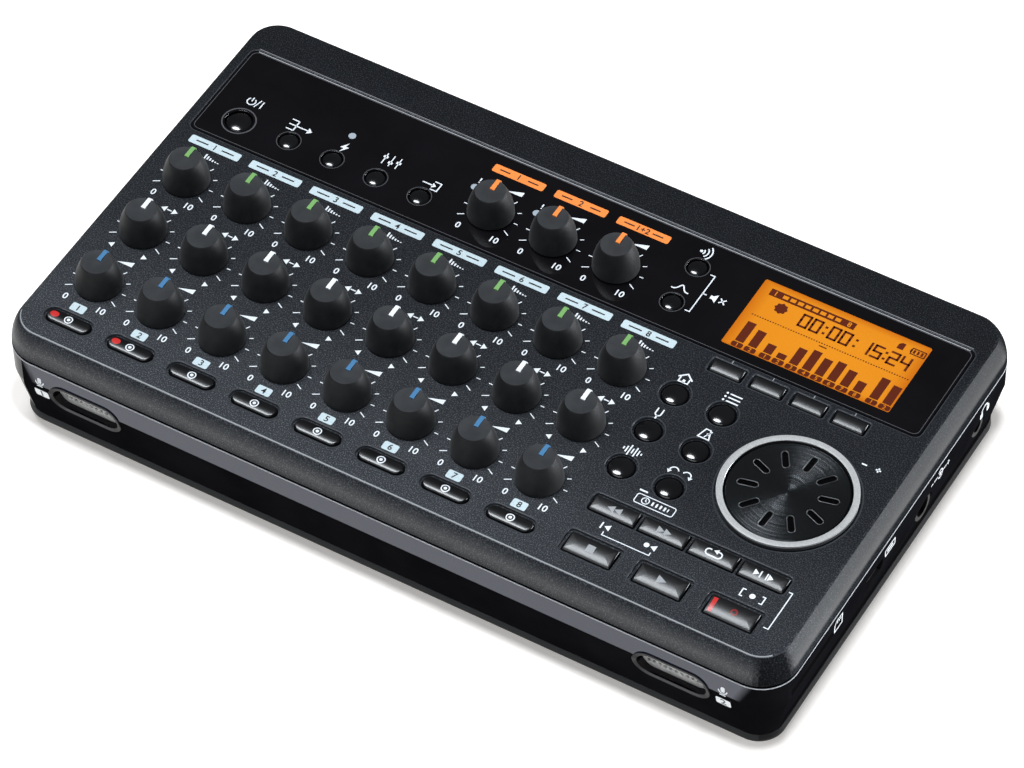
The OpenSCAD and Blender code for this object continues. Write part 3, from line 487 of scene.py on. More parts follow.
def arc(r, start, end, x=0.0, y=0.0, steps=25):
    a = np.radians(np.linspace(start, end, steps))
    return np.column_stack([x + r*np.cos(a), y + r*np.sin(a)])


def joined(shapes):
    points, faces, count = [], [], 0
    for p, f in shapes:
        points.append(p)
        faces += [[i + count for i in face] for face in f]
        count += len(p)
    return np.vstack(points), faces


def moved(shape, x=0.0, y=0.0, z=0.0):
    return shape[0] + (x, y, z), shape[1]


sharpFrom = 38  # degrees between faces that a smooth piece keeps as an edge


def makePiece(name, shape, body, finish, smooth=False):
    points, faces = shape
    mesh = bpy.data.meshes.new(name)
    mesh.from_pydata((points*mm).tolist(), [], faces)
    work = bmesh.new()
    work.from_mesh(mesh)
    bmesh.ops.remove_doubles(work, verts=work.verts, dist=1e-7)
    bmesh.ops.recalc_face_normals(work, faces=work.faces)
    work.to_mesh(mesh)
    work.free()
    if smooth:
        mesh.shade_smooth()
        mesh.set_sharp_from_angle(angle=math.radians(sharpFrom))
    mesh.materials.append(finishes[finish])
    made = bpy.data.objects.new(name, mesh)
    bpy.context.scene.collection.objects.link(made)
    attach(made, body)
    return made


def fixed(name, shapes, finish, smooth=False):
    # a piece that stays with the case
    makePiece(name, joined(shapes), "chassis", finish, smooth)


lettering = {"bold": 0.022, "capital": 0.7, "made": {}}


def numerals(text, height, thick):
    # figures from the built-in typeface, made a mesh and centred on the origin
    key = (text, height, thick)
    if key not in lettering["made"]:
        curve = bpy.data.curves.new("figures", "FONT")
        curve.body = text
        curve.size = height/lettering["capital"]
        curve.extrude = thick/2
        curve.offset = lettering["bold"]*height
        curve.resolution_u = 3
        source = bpy.data.objects.new("figures", curve)
        bpy.context.scene.collection.objects.link(source)
        bpy.context.view_layer.update()
        flat = bpy.data.meshes.new_from_object(source.evaluated_get(bpy.context.evaluated_depsgraph_get()))
        points = np.zeros(3*len(flat.vertices))
        flat.vertices.foreach_get("co", points)
        points = points.reshape(-1, 3)
        points = points - (points.min(0) + points.max(0))/2
        lettering["made"][key] = points, [list(p.vertices) for p in flat.polygons]
        bpy.data.objects.remove(source)
        bpy.data.meshes.remove(flat)
        bpy.data.curves.remove(curve)
    return lettering["made"][key]


def centreOf(node):
    low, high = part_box(node)
    return tuple(np.array((low + high)/2)[:2]/mm)


def topOf(node):
    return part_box(node)[1].z/mm


topZ = topOf("display_panel")
film = {"thick": 0.03}  # height of a printed film
level = (topZ - 0.005, topZ + film["thick"])


def line(points, width=0.34, closed=False, heights=level):
    return strip(points, width, *heights, closed=closed)


def area(points, heights=level):
    return slab(points, *heights)


def bar(x0, y0, x1, y1, width=0.34, heights=level):
    return line([(x0, y0), (x1, y1)], width, False, heights)


def plate(w, h, r, x, y, heights=level):
    return area(roundBox(w, h, r, x, y), heights)


def disc(r, x, y, heights=level):
    return area(arc(r, 0, 345, x, y, 24), heights)


def hoop(r, width, x, y):
    return line(arc(r, 0, 350, x, y, 36), width, True)


def figure(text, height, x, y, heights=level):
    low, high = heights
    return moved(numerals(text, height, high - low), x, y, (low + high)/2)


# Scales and figures round the dials

dials = {
    "rows": {"reverb": "green", "pan": "white", "level": "blue"}, "tracks": 8,
    "trims": {"input_a_trim_knob": "1", "input_b_trim_knob": "2", "master_level_knob": "1+2"},
    "tickFrom": 6.7, "tickTo": 7.8, "tickWide": 0.26, "tickTurns": range(-120, 121, 30), "endTick": 8.6,
    "figureAt": (5.3, -7.3), "figureHigh": 1.9, "wedge": (-1.0, 0.4, 0.85),
}
trackX = [centreOf(f"level_knob_{i + 1}")[0] for i in range(dials["tracks"])]


def scaleMarks(x, y, row):
    # ticks on a circle about the dial, each along its own radius, the end ticks longer
    marks, near = [], dials["tickFrom"]
    for turn in dials["tickTurns"]:
        c, s = math.cos(math.radians(90 - turn)), math.sin(math.radians(90 - turn))
        far = dials["endTick"] if abs(turn) == max(dials["tickTurns"]) else dials["tickTo"]
        marks.append(bar(x + near*c, y + near*s, x + far*c, y + far*s, dials["tickWide"]))
    dx, dy = dials["figureAt"]
    if row == "pan":
        base, tip, high = dials["wedge"]
        for s in (-1, 1):
            foot = x + s*(dx + base)
            marks.append(area([(foot, y + dy + high), (foot, y + dy - high), (x + s*(dx + tip), y + dy)]))
    else:
        marks += [figure(t, dials["figureHigh"], x + s*dx, y + dy) for s, t in ((-1, "0"), (1, "10"))]
    return marks


pointer = {"width": 1.15,  # and its profile: reach from the dial's middle, height over the dial's head
           "profile": ((0.7, 0.06), (4.2, 0.06), (4.55, -0.25), (4.67, -0.9), (4.45, -0.9), (4.25, -0.4),
                       (0.7, -0.4))}


def pointerBar(x, y, top):
    # a bar from near the middle to the rear edge of the dial's head, folded down over the edge
    half = pointer["width"]/2
    points = np.array([(x + s*half, y + r, top + z) for s in (-1, 1) for r, z in pointer["profile"]])
    return points, prismFaces(len(pointer["profile"]))


def addPointer(node, finish):
    makePiece(node + "_pointer", pointerBar(*centreOf(node), topOf(node)), node, finish)


for row, finish in dials["rows"].items():
    for i in range(dials["tracks"]):
        addPointer(f"{row}_knob_{i + 1}", finish)
for name in dials["trims"]:
    addPointer(name, "orange")
print("pointers fitted")

# Marks printed on the panel and the top

def put(x, y, shapes):
    return [moved(shape, x, y) for shape in shapes]


def wedge(side=1):  # a triangle that points along x
    return area([(-0.75*side, -0.95), (0.75*side, 0.0), (-0.75*side, 0.95)][::side])


def arrow(x0, x1, y=0.0, head=0.9):
    s = 1 if x1 > x0 else -1
    return [bar(x0, y, x1 - s*head*0.8, y),
            area([(x1 - s*head, y - head*0.8), (x1, y), (x1 - s*head, y + head*0.8)])]


signs = {
    "power": [line(arc(1.15, 125, 415, -1.1), 0.3), bar(-1.1, 0.1, -1.1, 1.5, 0.3),
              bar(0.4, -1.4, 1.2, 1.5, 0.28), bar(2.0, -1.2, 2.0, 1.3, 0.3)],
    "bounce": [bar(-3.6, y, -1.5, y) for y in (-1.7, 0, 1.7)] + [bar(-1.5, -1.7, -1.5, 1.7)]
    + arrow(-1.5, 3.2, 0, 1.3),
    "bolt": [area([(0.5, 1.9), (-1.1, -0.3), (-0.1, -0.3), (-0.6, -1.9), (1.1, 0.4), (0.1, 0.4)])],
    "sliders": [shape for x, y in ((-2.0, 0.6), (0, -0.7), (2.0, 0.2))
                for shape in (bar(x, -1.9, x, 1.9, 0.28), plate(1.3, 0.8, 0.2, x, y))],
    "assign": [line([(0.3, 1.4), (2.2, 1.4), (2.2, -1.4), (0.3, -1.4)], 0.32)] + arrow(-2.6, 1.3, 0, 1.1),
    "echo": [line(arc(r, -48, 48, -1.6), 0.36) for r in (0.9, 1.9, 2.9)] + [disc(0.42, -1.6, 0)],
    "bell": [line([(x, 1.9*math.exp(-x*x/0.8) - 0.9) for x in np.linspace(-2.4, 2.4, 29)], 0.36)],
    "mute": [area([(-2.2, -0.55), (-1.5, -0.55), (-0.5, -1.4), (-0.5, 1.4), (-1.5, 0.55), (-2.2, 0.55)]),
             bar(0.4, -0.8, 2.0, 0.8), bar(0.4, 0.8, 2.0, -0.8)],
    "alert": [bar(0, -0.25, 0, 0.75, 0.36), disc(0.2, 0, -0.75)],
    "house": [line([(-1.9, 0), (0, 1.6), (1.9, 0)], 0.4),
              line([(-1.25, 0.2), (-1.25, -1.35), (1.25, -1.35), (1.25, 0.2)], 0.36),
              plate(0.7, 1.0, 0.1, 0, -0.85)],
    "list": [bar(-1.2, y, 2.1, y, 0.4) for y in (-1.2, 0, 1.2)]
    + [disc(0.3, -2.0, y) for y in (-1.2, 0, 1.2)],
    "fork": [line([(-0.75, 1.7), *map(tuple, arc(0.75, 180, 360, 0, 0, 13)), (0.75, 1.7)], 0.36),
             bar(0, -0.7, 0, -1.8, 0.42)],
    "beat": [line([(-1.5, -1.4), (1.5, -1.4), (0.65, 1.5), (-0.65, 1.5)], 0.34, True),
             bar(0, -1.0, 1.2, 1.3, 0.3), plate(0.7, 0.7, 0.2, 0.55, 0.1)],
    "wave": [bar(x, -h, x, h, 0.36)
             for x, h in zip(np.arange(-2.4, 2.5, 0.8), (0.4, 1.0, 1.7, 0.8, 1.5, 0.9, 0.3))],
    "undo": [line(arc(1.15, 20, 190, -1.7, -0.4), 0.34), line(arc(1.15, 160, -10, 1.7, -0.4), 0.34),
             area([(-3.5, -0.5), (-2.85, -1.5), (-2.2, -0.5)]),
             area([(2.2, -0.5), (2.85, -1.5), (3.5, -0.5)])],
    "past": [hoop(0.95, 0.26, -2.6, 0), line([(-2.6, 0.55), (-2.6, 0), (-2.2, -0.25)], 0.24)]
    + [bar(x, -0.6, x, 0.6, 0.5) for x in (-0.6, 0.5, 1.6, 2.7)]
    + [bar(3.6, -0.5, 3.6, 0.5, 0.3)],
    "start": [bar(-1.2, -1.0, -1.2, 1.0, 0.4), moved(wedge(-1), 0.3)],
    "last": [disc(0.7, -1.2, 0), moved(wedge(-1), 0.6)],
    "punch": [line([(-2.2, 1.1), (-3.0, 1.1), (-3.0, -1.1), (-2.2, -1.1)], 0.32), disc(0.75, 0, 0),
              line([(2.2, 1.1), (3.0, 1.1), (3.0, -1.1), (2.2, -1.1)], 0.32)],
    "dial": [bar(-2.6, 0, -1.2, 0, 0.42), bar(1.2, 0, 2.6, 0, 0.42),
             bar(1.9, -0.7, 1.9, 0.7, 0.42)],
    "ramp": [area([(-2.2, -0.8), (2.2, -0.8), (2.2, 0.8)])],
    "sides": [moved(wedge(-1), -1.7), moved(wedge(1), 1.7), bar(-0.7, 0, 0.7, 0)],
    "tail": [bar(x, -0.8, x, h - 0.8, 0.42)
             for x, h in zip(np.arange(-2.0, 2.1, 0.8), (1.7, 1.25, 0.9, 0.6, 0.4, 0.25))],
}
panelMarks = {
    "power": (-94.4, 33.1), "bounce": (-79.4, 31.4), "bolt": (-66.3, 31.1), "sliders": (-53.4, 33.0),
    "assign": (-40.4, 31.0), "echo": (31.4, 45.2), "bell": (31.4, 31.9), "mute": (41.3, 32.9),
}
topMarks = {
    "house": (46.7, 6.4), "list": (59.9, 6.4), "fork": (46.4, -6.6), "beat": (59.6, -6.6),
    "wave": (46.8, -20.1), "undo": (60.2, -20.1), "past": (59.75, -32.15), "start": (52.9, -43.8),
    "last": (65.2, -43.8), "punch": (93.4, -45.0), "dial": (99.4, 4.0),
}
rowSigns = {"reverb": "tail", "pan": "sides", "level": "ramp", "trim": "ramp"}
rowSignAt = (1.7, 9.5)
alertsAt = ((-30.4, 38.5), (-12.3, 38.5))  # beside the overload lamps
pastBox = {"size": (10.5, 2.9, 0.6), "wide": 0.26}
links = {  # lines that tie keys to each other or to their signs, and their widths
    "panel": (([(35.6, 39.3), (36.9, 39.3), (36.9, 26.0), (35.6, 26.0)], 0.3),
              ([(36.9, 32.9), (38.0, 32.9)], 0.3)),
    "top": (([(54.2, -29.6), (56.4, -29.6)], 0.5),
            ([(53.1, -45.3), (53.1, -46.4), (66.0, -46.4), (66.0, -45.4)], 0.26),
            ([(100.3, -39.6), (101.3, -39.6), (101.3, -51.8), (100.0, -51.8)], 0.28)),
}


def signsAt(marks):
    return [shape for name, at in marks.items() for shape in put(*at, signs[name])]


def dialMarks(node, row):
    x, y = centreOf(node)
    return scaleMarks(x, y, row) + put(x + rowSignAt[0], y + rowSignAt[1], signs[rowSigns[row]])


def panelPrint():
    shapes = signsAt(panelMarks)
    for name in dials["trims"]:
        shapes += dialMarks(name, "trim")
    for x, y in alertsAt:
        shapes += put(x, y, signs["alert"])
    shapes += [line(*link) for link in links["panel"]]
    fixed("panelPrint", shapes, "white")


def topPrint():
    shapes = signsAt(topMarks)
    for row in dials["rows"]:
        for i in range(dials["tracks"]):
            shapes += dialMarks(f"{row}_knob_{i + 1}", row)
    shapes.append(line(roundBox(*pastBox["size"], *topMarks["past"]), pastBox["wide"], True))
    shapes += [line(*link) for link in links["top"]]
    fixed("topPrint", shapes, "white")


plates = {
    "trackAt": (0.2, 14.64), "trackSize": (14.9, 2.65), "keyAt": (-0.2, -48.15), "keySize": (4.1, 2.6),
    "trimUp": 14.2, "round": 0.5, "figure": 1.75, "trackDash": 2.0, "trimDash": 2.6, "dashEnd": 5.6,
    "dash": 0.4,
}


def platePrint():
    # plates with a figure; the wide ones have a dash on each side of it
    p, over = plates, (level[1] - 0.01, level[1] + film["thick"])
    pale, warm, dark, darkWarm = [], [], [], []

    def dashes(x, y, near):
        return [bar(x + s*near, y, x + s*p["dashEnd"], y, p["dash"], over) for s in (-1, 1)]

    for i, x in enumerate(trackX):
        track, key = (x + p["trackAt"][0], p["trackAt"][1]), (x + p["keyAt"][0], p["keyAt"][1])
        pale += [plate(*p["trackSize"], p["round"], *track), plate(*p["keySize"], p["round"], *key)]
        dark += [figure(str(i + 1), p["figure"], *at, over) for at in (track, key)]
        dark += dashes(*track, p["trackDash"])
    for name, text in dials["trims"].items():
        x, y = centreOf(name)
        y += p["trimUp"]
        warm.append(plate(*p["trackSize"], p["round"], x, y))
        darkWarm += [figure(text, p["figure"], x, y, over), *dashes(x, y, p["trimDash"])]
    fixed("trackPlates", pale, "plate")
    fixed("trackFigures", dark, "dark")
    fixed("trimPlates", warm, "orange")
    fixed("trimFigures", darkWarm, "dark")


panelPrint()
topPrint()
platePrint()
print("marks printed")

# Display

screen = {
    "x": (48.35, 94.9), "y": (21.4, 44.95), "round": 0.5,
    "layers": ((-0.005, 0.02), (0.015, 0.035), (0.03, 0.05)),  # light, segments and the figures on them
    "title": (51.2, 40.7, 75.0, 43.0), "titleRound": 0.05, "titleFigure": 1.5, "titleIn": 1.6,
    "dashes": (3.6, 20.0, 2.1), "dash": (1.5, 1.1),
    "bars": (52.3, 55.9, 60.1, 63.7, 67.35, 70.9, 74.4, 77.9, 81.4, 85.0, 89.6, 93.2), "barWide": 2.35,
    "tops": (30.6, 29.3, 26.7, 25.3, 29.3, 30.4, 29.3, 30.1, 29.0, 27.0, 30.8, 29.9), "foot": 23.5,
    "tag": (3.1, 1.6, 0.5), "tagY": 22.4, "tagFigure": 1.2,
    "clock": ((64.9, "00"), (73.1, "00"), (81.9, "15"), (89.5, "24")), "clockY": 37.35,
    "digit": (2.7, 4.5, 0.62), "digitGap": 0.25,
    "colons": (69.0, 77.5, 85.7), "colonDots": (-1.2, 0.9), "colonDot": 0.7,
    "dots": (50.9, 94.4, 0.72), "dotsY": 33.1, "dot": 0.36, "place": (70.0, 32.1, 72.2, 32.1),
    "blob": (56.2, 38.1, 1.65, 0.10, 8),
    "card": ((86.9, 40.9), (88.6, 40.9), (88.6, 43.1), (87.6, 43.1), (86.9, 42.4)),
    "cell": (3.7, 1.9, 0.1, 92.5, 41.9), "cellLine": 0.34, "cellTip": (90.3, 41.9, 90.65, 41.9, 1.0),
    "cellBars": (91.4, 92.45, 93.5), "cellBar": (41.3, 42.5, 0.6),
}
segments = {"0": "abcdef", "1": "bc", "2": "abged", "4": "fgbc", "5": "afgcd"}


def segmentDigit(text, x, y, heights):
    # seven strips on the sides and the waist of a box, the ones that the figure lights
    w, h, stroke = screen["digit"]
    w, h = w - stroke, h - stroke
    ends = {"a": (-1, 1, 1, 1), "b": (1, 1, 1, 0), "c": (1, 0, 1, -1), "d": (-1, -1, 1, -1),
            "e": (-1, 0, -1, -1), "f": (-1, 1, -1, 0), "g": (-1, 0, 1, 0)}
    shapes = []
    for name in segments[text]:
        x0, y0, x1, y1 = ends[name]
        dx, dy = (stroke/2, 0) if y0 == y1 else (0, stroke/2)
        shapes.append(bar(x + x0*w/2 - dx, y + y0*h/2 + dy, x + x1*w/2 + dx, y + y1*h/2 - dy,
                          stroke, heights))
    return shapes


def addScreen():
    s = screen
    (x0, x1), (y0, y1) = s["x"], s["y"]
    glass, inkOn, over = [(topZ + low, topZ + high) for low, high in s["layers"]]
    finishes["screen"] = litScreen((x0*mm, y0*mm), (x1*mm, y1*mm))
    glow = plate(x1 - x0, y1 - y0, s["round"], (x0 + x1)/2, (y0 + y1)/2, glass)
    fixed("screenGlow", [glow], "screen")

    tx0, ty0, tx1, ty1 = s["title"]
    ty = (ty0 + ty1)/2
    dark = [plate(tx1 - tx0, ty1 - ty0, s["titleRound"], (tx0 + tx1)/2, ty, inkOn)]
    light = [figure("1", s["titleFigure"], tx0 + s["titleIn"], ty, over)]
    long, thick = s["dash"]
    light += [bar(tx0 + x, ty, tx0 + x + long, ty, thick, over) for x in np.arange(*s["dashes"])]
    light.append(figure("8", s["titleFigure"], tx1 - s["titleIn"], ty, over))

    dark += [bar(x, s["foot"], x, top, s["barWide"], inkOn) for x, top in zip(s["bars"], s["tops"])]
    for i, x in enumerate(s["bars"]):  # two inputs, eight tracks and two outputs
        dark.append(plate(*s["tag"], x, s["tagY"], inkOn))
        text = str(i - 1) if 2 <= i < 10 else str(i % 10 + 1)
        light.append(figure(text, s["tagFigure"], x, s["tagY"], over))

    apart, y, half = s["digit"][0]/2 + s["digitGap"], s["clockY"], s["colonDot"]/2
    for x, text in s["clock"]:
        for side, one in zip((-1, 1), text):
            dark += segmentDigit(one, x + side*apart, y, inkOn)
    for x in s["colons"]:  # the dots between hours, minutes, seconds and frames
        dark += [bar(x, y + d - half, x, y + d + half, s["colonDot"], inkOn) for d in s["colonDots"]]
    half = s["dot"]/2
    dark += [bar(x - half, s["dotsY"], x + half, s["dotsY"], s["dot"], inkOn) for x in np.arange(*s["dots"])]
    dark.append(bar(*s["place"], s["dot"], inkOn))

    bx, by, br, depth, count = s["blob"]
    turn = np.linspace(0, 2*np.pi, 40, endpoint=False)
    lobes = br*(1 + depth*np.cos(count*turn))  # a knobbly disc
    dark.append(area(np.column_stack([bx + lobes*np.cos(turn), by + lobes*np.sin(turn)]), inkOn))
    dark.append(area(s["card"], inkOn))
    dark.append(line(roundBox(*s["cell"]), s["cellLine"], True, inkOn))
    low, high, wide = s["cellBar"]
    dark += [bar(x, low, x, high, wide, inkOn) for x in s["cellBars"]]
    dark.append(bar(*s["cellTip"], inkOn))
    fixed("screenSegments", dark, "segment")
    fixed("screenFigures", light, "screen")


addScreen()
print("display lit")

# Caps of the keys, with rounded edges

keys = {
    "crown": 35.7, "foot": 32.3, "flange": 0.8, "flangeOut": 1.1, "stemFoot": 27.35, "stem": 1.5,
    "fillet": 0.45,
    "bulge": 10.6,  # radius of the crowned top of a straight key
    "ball": 1.2,  # radius of the crowned top of a round key, in widths of the key
}
mouldings = {
    "track_arm_keys": {"at": [(x, -52.8) for x in trackX], "size": (12.4, 4.0), "corner": 2.0, "fillet": 0.4,
                       "bulge": 5.5, "back": 0.0},
    "menu_buttons": {"at": [(46.8 + 13.17*i, 1.0 - 13.26*j) for j in range(3) for i in range(2)],
                     "size": (6.7, 6.7), "corner": 3.35, "fillet": 0.5},
    "panel_buttons": {"at": [(-79.9 + 12.93*i, 26.1) for i in range(4)] + [(31.6, 26.7), (31.6, 39.9)],
                      "size": (5.2, 5.2), "corner": 2.6, "fillet": 0.4, "foot": 31.7},
    "power_button": {"at": [(-94.65, 25.7)], "size": (7.0, 7.0), "corner": 3.5, "fillet": 0.5, "foot": 31.7},
    "soft_keys": {"at": [(54.25 + 11.35*i, 13.9) for i in range(4)], "size": (8.6, 3.7), "corner": 0.35,
                  "foot": 31.7, "bulge": 6.8},
}
transport = ("stop_key", "play_key", "record_key")
for name in transport:
    mouldings[name] = {"at": [centreOf(name)], "size": (13.0, 5.7), "corner": 0.35}
for name in ("rewind_key", "forward_key", "repeat_key", "in_out_key"):
    mouldings[name] = {"at": [centreOf(name)], "size": (12.4, 4.5), "corner": 0.35, "bulge": 8.4,
                       "flangeX": 0.0}


def crownOf(name):
    # height of a key's top over its own middle: a ball on round keys, a barrel on the others, set to the rear
    # on box keys
    m, top = mouldings[name], keys["crown"]
    w, d = m["size"]
    if w == d:
        ball = keys["ball"]*w
        return lambda x, y: top - ball + np.sqrt(ball**2 - x**2 - y**2)
    back, barrel = m.get("back", d/4), m.get("bulge", keys["bulge"])
    return lambda x, y: top - barrel + np.sqrt(barrel**2 - (y - back)**2)


def capSurface(name):
    # rings drawn in from the outline to its middle line; the height drops in a quarter round at the edge
    m = mouldings[name]
    (w, d), crown = m["size"], crownOf(name)
    fillet = m.get("fillet", keys["fillet"])
    edge = roundBox(w, d, m["corner"], steps=9)
    middle = np.column_stack([np.clip(edge[:, 0], -(w - d)/2, (w - d)/2), np.zeros(len(edge))])
    turn = np.radians(np.linspace(0, 90, 7))
    inset = np.concatenate([fillet*(1 - np.cos(turn)), np.linspace(fillet, d/2, 9)[1:]])
    drop = fillet - np.sqrt(np.maximum(fillet**2 - np.maximum(fillet - inset, 0)**2, 0))
    rings = middle + (edge - middle)*(1 - inset/(d/2))[:, None, None]
    heights = crown(rings[..., 0], rings[..., 1]) - drop[:, None]
    points = np.concatenate([np.dstack([rings[:1], np.full((1, len(edge)), m.get("foot", keys["foot"]))]),
                             np.dstack([rings, heights])]).reshape(-1, 3)
    return points, gridFaces(len(inset) + 1, len(edge), False, True) + [list(range(len(edge)))]


def addKeys(name):
    m = mouldings[name]
    (w, d), foot = m["size"], m.get("foot", keys["foot"])
    out = keys["flangeOut"]
    corner = min(m["corner"] + out, (d + 2*out)/2) - 0.001
    flange = slab(roundBox(w + 2*m.get("flangeX", out), d + 2*out, corner), foot, foot + keys["flange"])
    stem = disc(keys["stem"], 0.0, 0.0, (keys["stemFoot"], foot + 0.02))
    cap = capSurface(name)
    shapes = [shape for x, y in m["at"] for shape in put(x, y, (cap, flange, stem))]
    look = "dome" if w == d else "pill" if name == "track_arm_keys" else "key"
    made = makePiece(name + "_caps", joined(shapes), name, look, smooth=True)
    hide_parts(name)


for name in mouldings:
    addKeys(name)
print("keys capped:", len(mouldings))

# Signs on the keys, laid over their crowns

skin = (-0.03, 0.035)


def crossed(x0, x1, y):
    # ribs from x0 to x1 at each y
    left, right = [np.column_stack([np.broadcast_to(x, len(y)), y]) for x in (x0, x1)]
    return ribs(left, right, *skin)


def block(x0, x1, y0, y1):
    return crossed(x0, x1, np.linspace(y0, y1, 9))


def dart(x0, x1, high):
    # a triangle from its base at x0 to its point at x1
    y = np.linspace(-high, high, 13)
    return crossed(x0, x0 + (x1 - x0)*(1 - np.abs(y)/high), y)


def spot(r, x=0.0, y=0.0, stretch=1.0):
    rise = np.linspace(-0.999, 0.999, 15)
    half = stretch*r*np.sqrt(1 - rise**2)
    return crossed(x - half, x + half, y + r*rise)


loop = np.vstack([arc(0.85, 60, 270, -1.3, 0.0, 15), arc(0.85, -90, 120, 1.3, 0.0, 15)])
keySigns = {
    "stop_key": [block(-1.05, 1.05, -1.0, 1.0)],
    "play_key": [dart(-1.0, 1.5, 1.15)],
    "rewind_key": [dart(-0.1, -2.0, 0.95), dart(1.8, -0.1, 0.95)],
    "forward_key": [dart(0.1, 2.0, 0.95), dart(-1.8, 0.1, 0.95)],
    "repeat_key": [strip(loop, 0.36, *skin), moved(dart(0.0, -1.2, 0.75), 0.9, 0.8)],
    "in_out_key": [dart(-2.6, -1.2, 0.9), block(-1.0, -0.65, -0.95, 0.95), block(0.65, 1.0, -0.95, 0.95),
                   dart(1.2, 2.6, 0.9)],
    "record_key": [strip(arc(0.72, 0, 350, 0.6, 0.1, 30), 0.36, *skin, closed=True)],
    "track_arm_keys": [strip(arc(1.0, 0, 350, 0.0, 0.0, 30), 0.3, *skin, closed=True), spot(0.45)],
}
signInks = {"stop_key": "silver", "play_key": "silver", "rewind_key": "silver", "forward_key": "silver",
            "record_key": "dimRed"}
keyLamps = {
    "record_key": [block(-5.6, -4.5, -2.1, 1.9)],
    "track_arm_keys": [spot(0.95, -4.1, 0.1, 1.25)],
}


def laid(shape, name, x, y):
    points, faces = shape
    rise = crownOf(name)(points[:, 0], points[:, 1])
    return points + np.stack([np.full_like(rise, x), np.full_like(rise, y), rise], 1), faces


for name, shapes in keySigns.items():
    made = [laid(shape, name, x, y) for x, y in mouldings[name]["at"] for shape in shapes]
    makePiece(name + "_sign", joined(made), name, signInks.get(name, "white"))
for name, shapes in keyLamps.items():
    made = [laid(shape, name, x, y) for x, y in mouldings[name]["at"][:2] for shape in shapes]
    makePiece(name + "_lamp", joined(made), name, "red")
print("key signs laid")

# Rounded edges of the pockets and the panel, and thin lines of painted highlight along them

rims = {
    "round": 0.24, "deep": 0.6, "lift": 0.012, "seat": 0.2, "start": 0.1,
    "strip": (54.2, 6.2, 1.4, 72.5, -38.3), "menu": 4.1, "track": (13.9, 5.3, 2.649), "box": (15.2, 7.7, 1.4),
    "soft": (9.8, 4.8, 0.7), "wheel": (18.0, 85.8, -13.2), "panel": (210.3, 32.1, 2.1, 0.0, 33.55),
    "button": 2.9, "power": 3.8,
}
outlines = {
    "border": (208.5, 30.3, 1.6, 0.0, 33.55), "borderWide": 0.15, "power": 4.4, "powerWide": 0.34,
    "button": 3.15, "buttonWide": 0.22, "tick": (2.5, 17.3, 0.2),
    "panelRear": (103.2, 49.05, 0.26), "coverRear": (103.6, 50.0, 0.2),
}


def circle(r, x, y):
    return arc(r, 0, 355, x, y, 72)


def rim(path, fine=1.0):
    # a quarter round that leads from the flat down into the opening, carried along the opening's edge
    path = np.asarray(path, float)
    r, lift, seat = rims["round"]*fine, rims["lift"], rims["seat"]*fine + rims["start"]
    start, foot = rims["start"]*fine, -rims["deep"]
    turn = np.radians(np.linspace(90, 180, 7))
    quarter = np.column_stack([start + r*np.cos(turn), lift - r + r*np.sin(turn)])
    profile = np.vstack([[(seat, lift)], quarter, [(start - r, foot), (seat, foot)]])
    along = unit(np.roll(path, -1, 0) - np.roll(path, 1, 0))
    out = np.stack([along[:, 1], -along[:, 0]], 1)
    flat = path[:, None] + out[:, None]*profile[None, :, :1]
    high = np.broadcast_to(topZ + profile[:, 1], flat.shape[:2])
    return np.dstack([flat, high]).reshape(-1, 3), gridFaces(len(path), len(profile), True, True)


def rearGlint(half, y, width):
    return bar(-half, y, half, y, width)


def addRims():
    at = {name: m["at"] for name, m in mouldings.items()}
    pockets = [rim(roundBox(*rims["strip"]))]
    pockets += [rim(circle(rims["menu"], x, y), fine=0.7) for x, y in at["menu_buttons"]]
    pockets += [rim(roundBox(*rims["track"], x, y, 13)) for x, y in at["track_arm_keys"]]
    pockets += [rim(roundBox(*rims["box"], *at[name][0])) for name in transport]
    pockets += [rim(roundBox(*rims["soft"], x, y)) for x, y in at["soft_keys"]]
    pockets += [rim(circle(*rims["wheel"])), rim(roundBox(*rims["panel"]), fine=0.5)]
    fixed("pocketRims", pockets, "rim", smooth=True)
    rings = [rim(circle(rims["button"], x, y), fine=0.8) for x, y in at["panel_buttons"]]
    rings.append(rim(circle(rims["power"], *at["power_button"][0]), fine=0.8))
    fixed("panelRims", rings, "panel", smooth=True)

    o = outlines
    # painted highlights: a grey line round the panel's edge and a ring round the power button
    border = line(roundBox(*o["border"]), o["borderWide"], True)
    ring = line(circle(o["power"], *at["power_button"][0]), o["powerWide"], True)
    fixed("panelEdgeGlints", [border, ring], "trim")
    # painted highlights: pale lines along the rear edges of the panel and of the cover's opening
    fixed("panelRearGlint", [rearGlint(*o["panelRear"])], "pale")
    fixed("coverRearGlint", [rearGlint(*o["coverRear"])], "halfPale")
    # painted reflections: faint rings round the panel buttons
    rings = [line(circle(o["button"], x, y), o["buttonWide"], True) for x, y in at["panel_buttons"]]
    fixed("panelRingGlints", rings, "faint")
    # painted highlights: grey ticks for the lit edges of small grooves above the soft keys
    near, far, wide = o["tick"]
    fixed("softTicks", [bar(x, y + near, x, far, wide) for x, y in at["soft_keys"]], "silver")


addRims()
print("edges rounded")

# Signs and edges of the walls

def tube(path, outward, r, closed=False, sides=12):
    # a circle carried along a path in space
    path = np.asarray(path, float)
    ring = padded(path, closed)
    along = unit(ring[2:] - ring[:-2])
    side = unit(np.cross(along, outward))
    up = np.cross(side, along)
    turn = np.linspace(0, 2*np.pi, sides, endpoint=False)[None, :, None]
    points = path[:, None] + r*(np.cos(turn)*side[:, None] + np.sin(turn)*up[:, None])
    last = sides*(len(path) - 1)
    caps = [] if closed else [list(range(sides)), list(range(last, last + sides))]
    return points.reshape(-1, 3), gridFaces(len(path), sides, closed, True) + caps


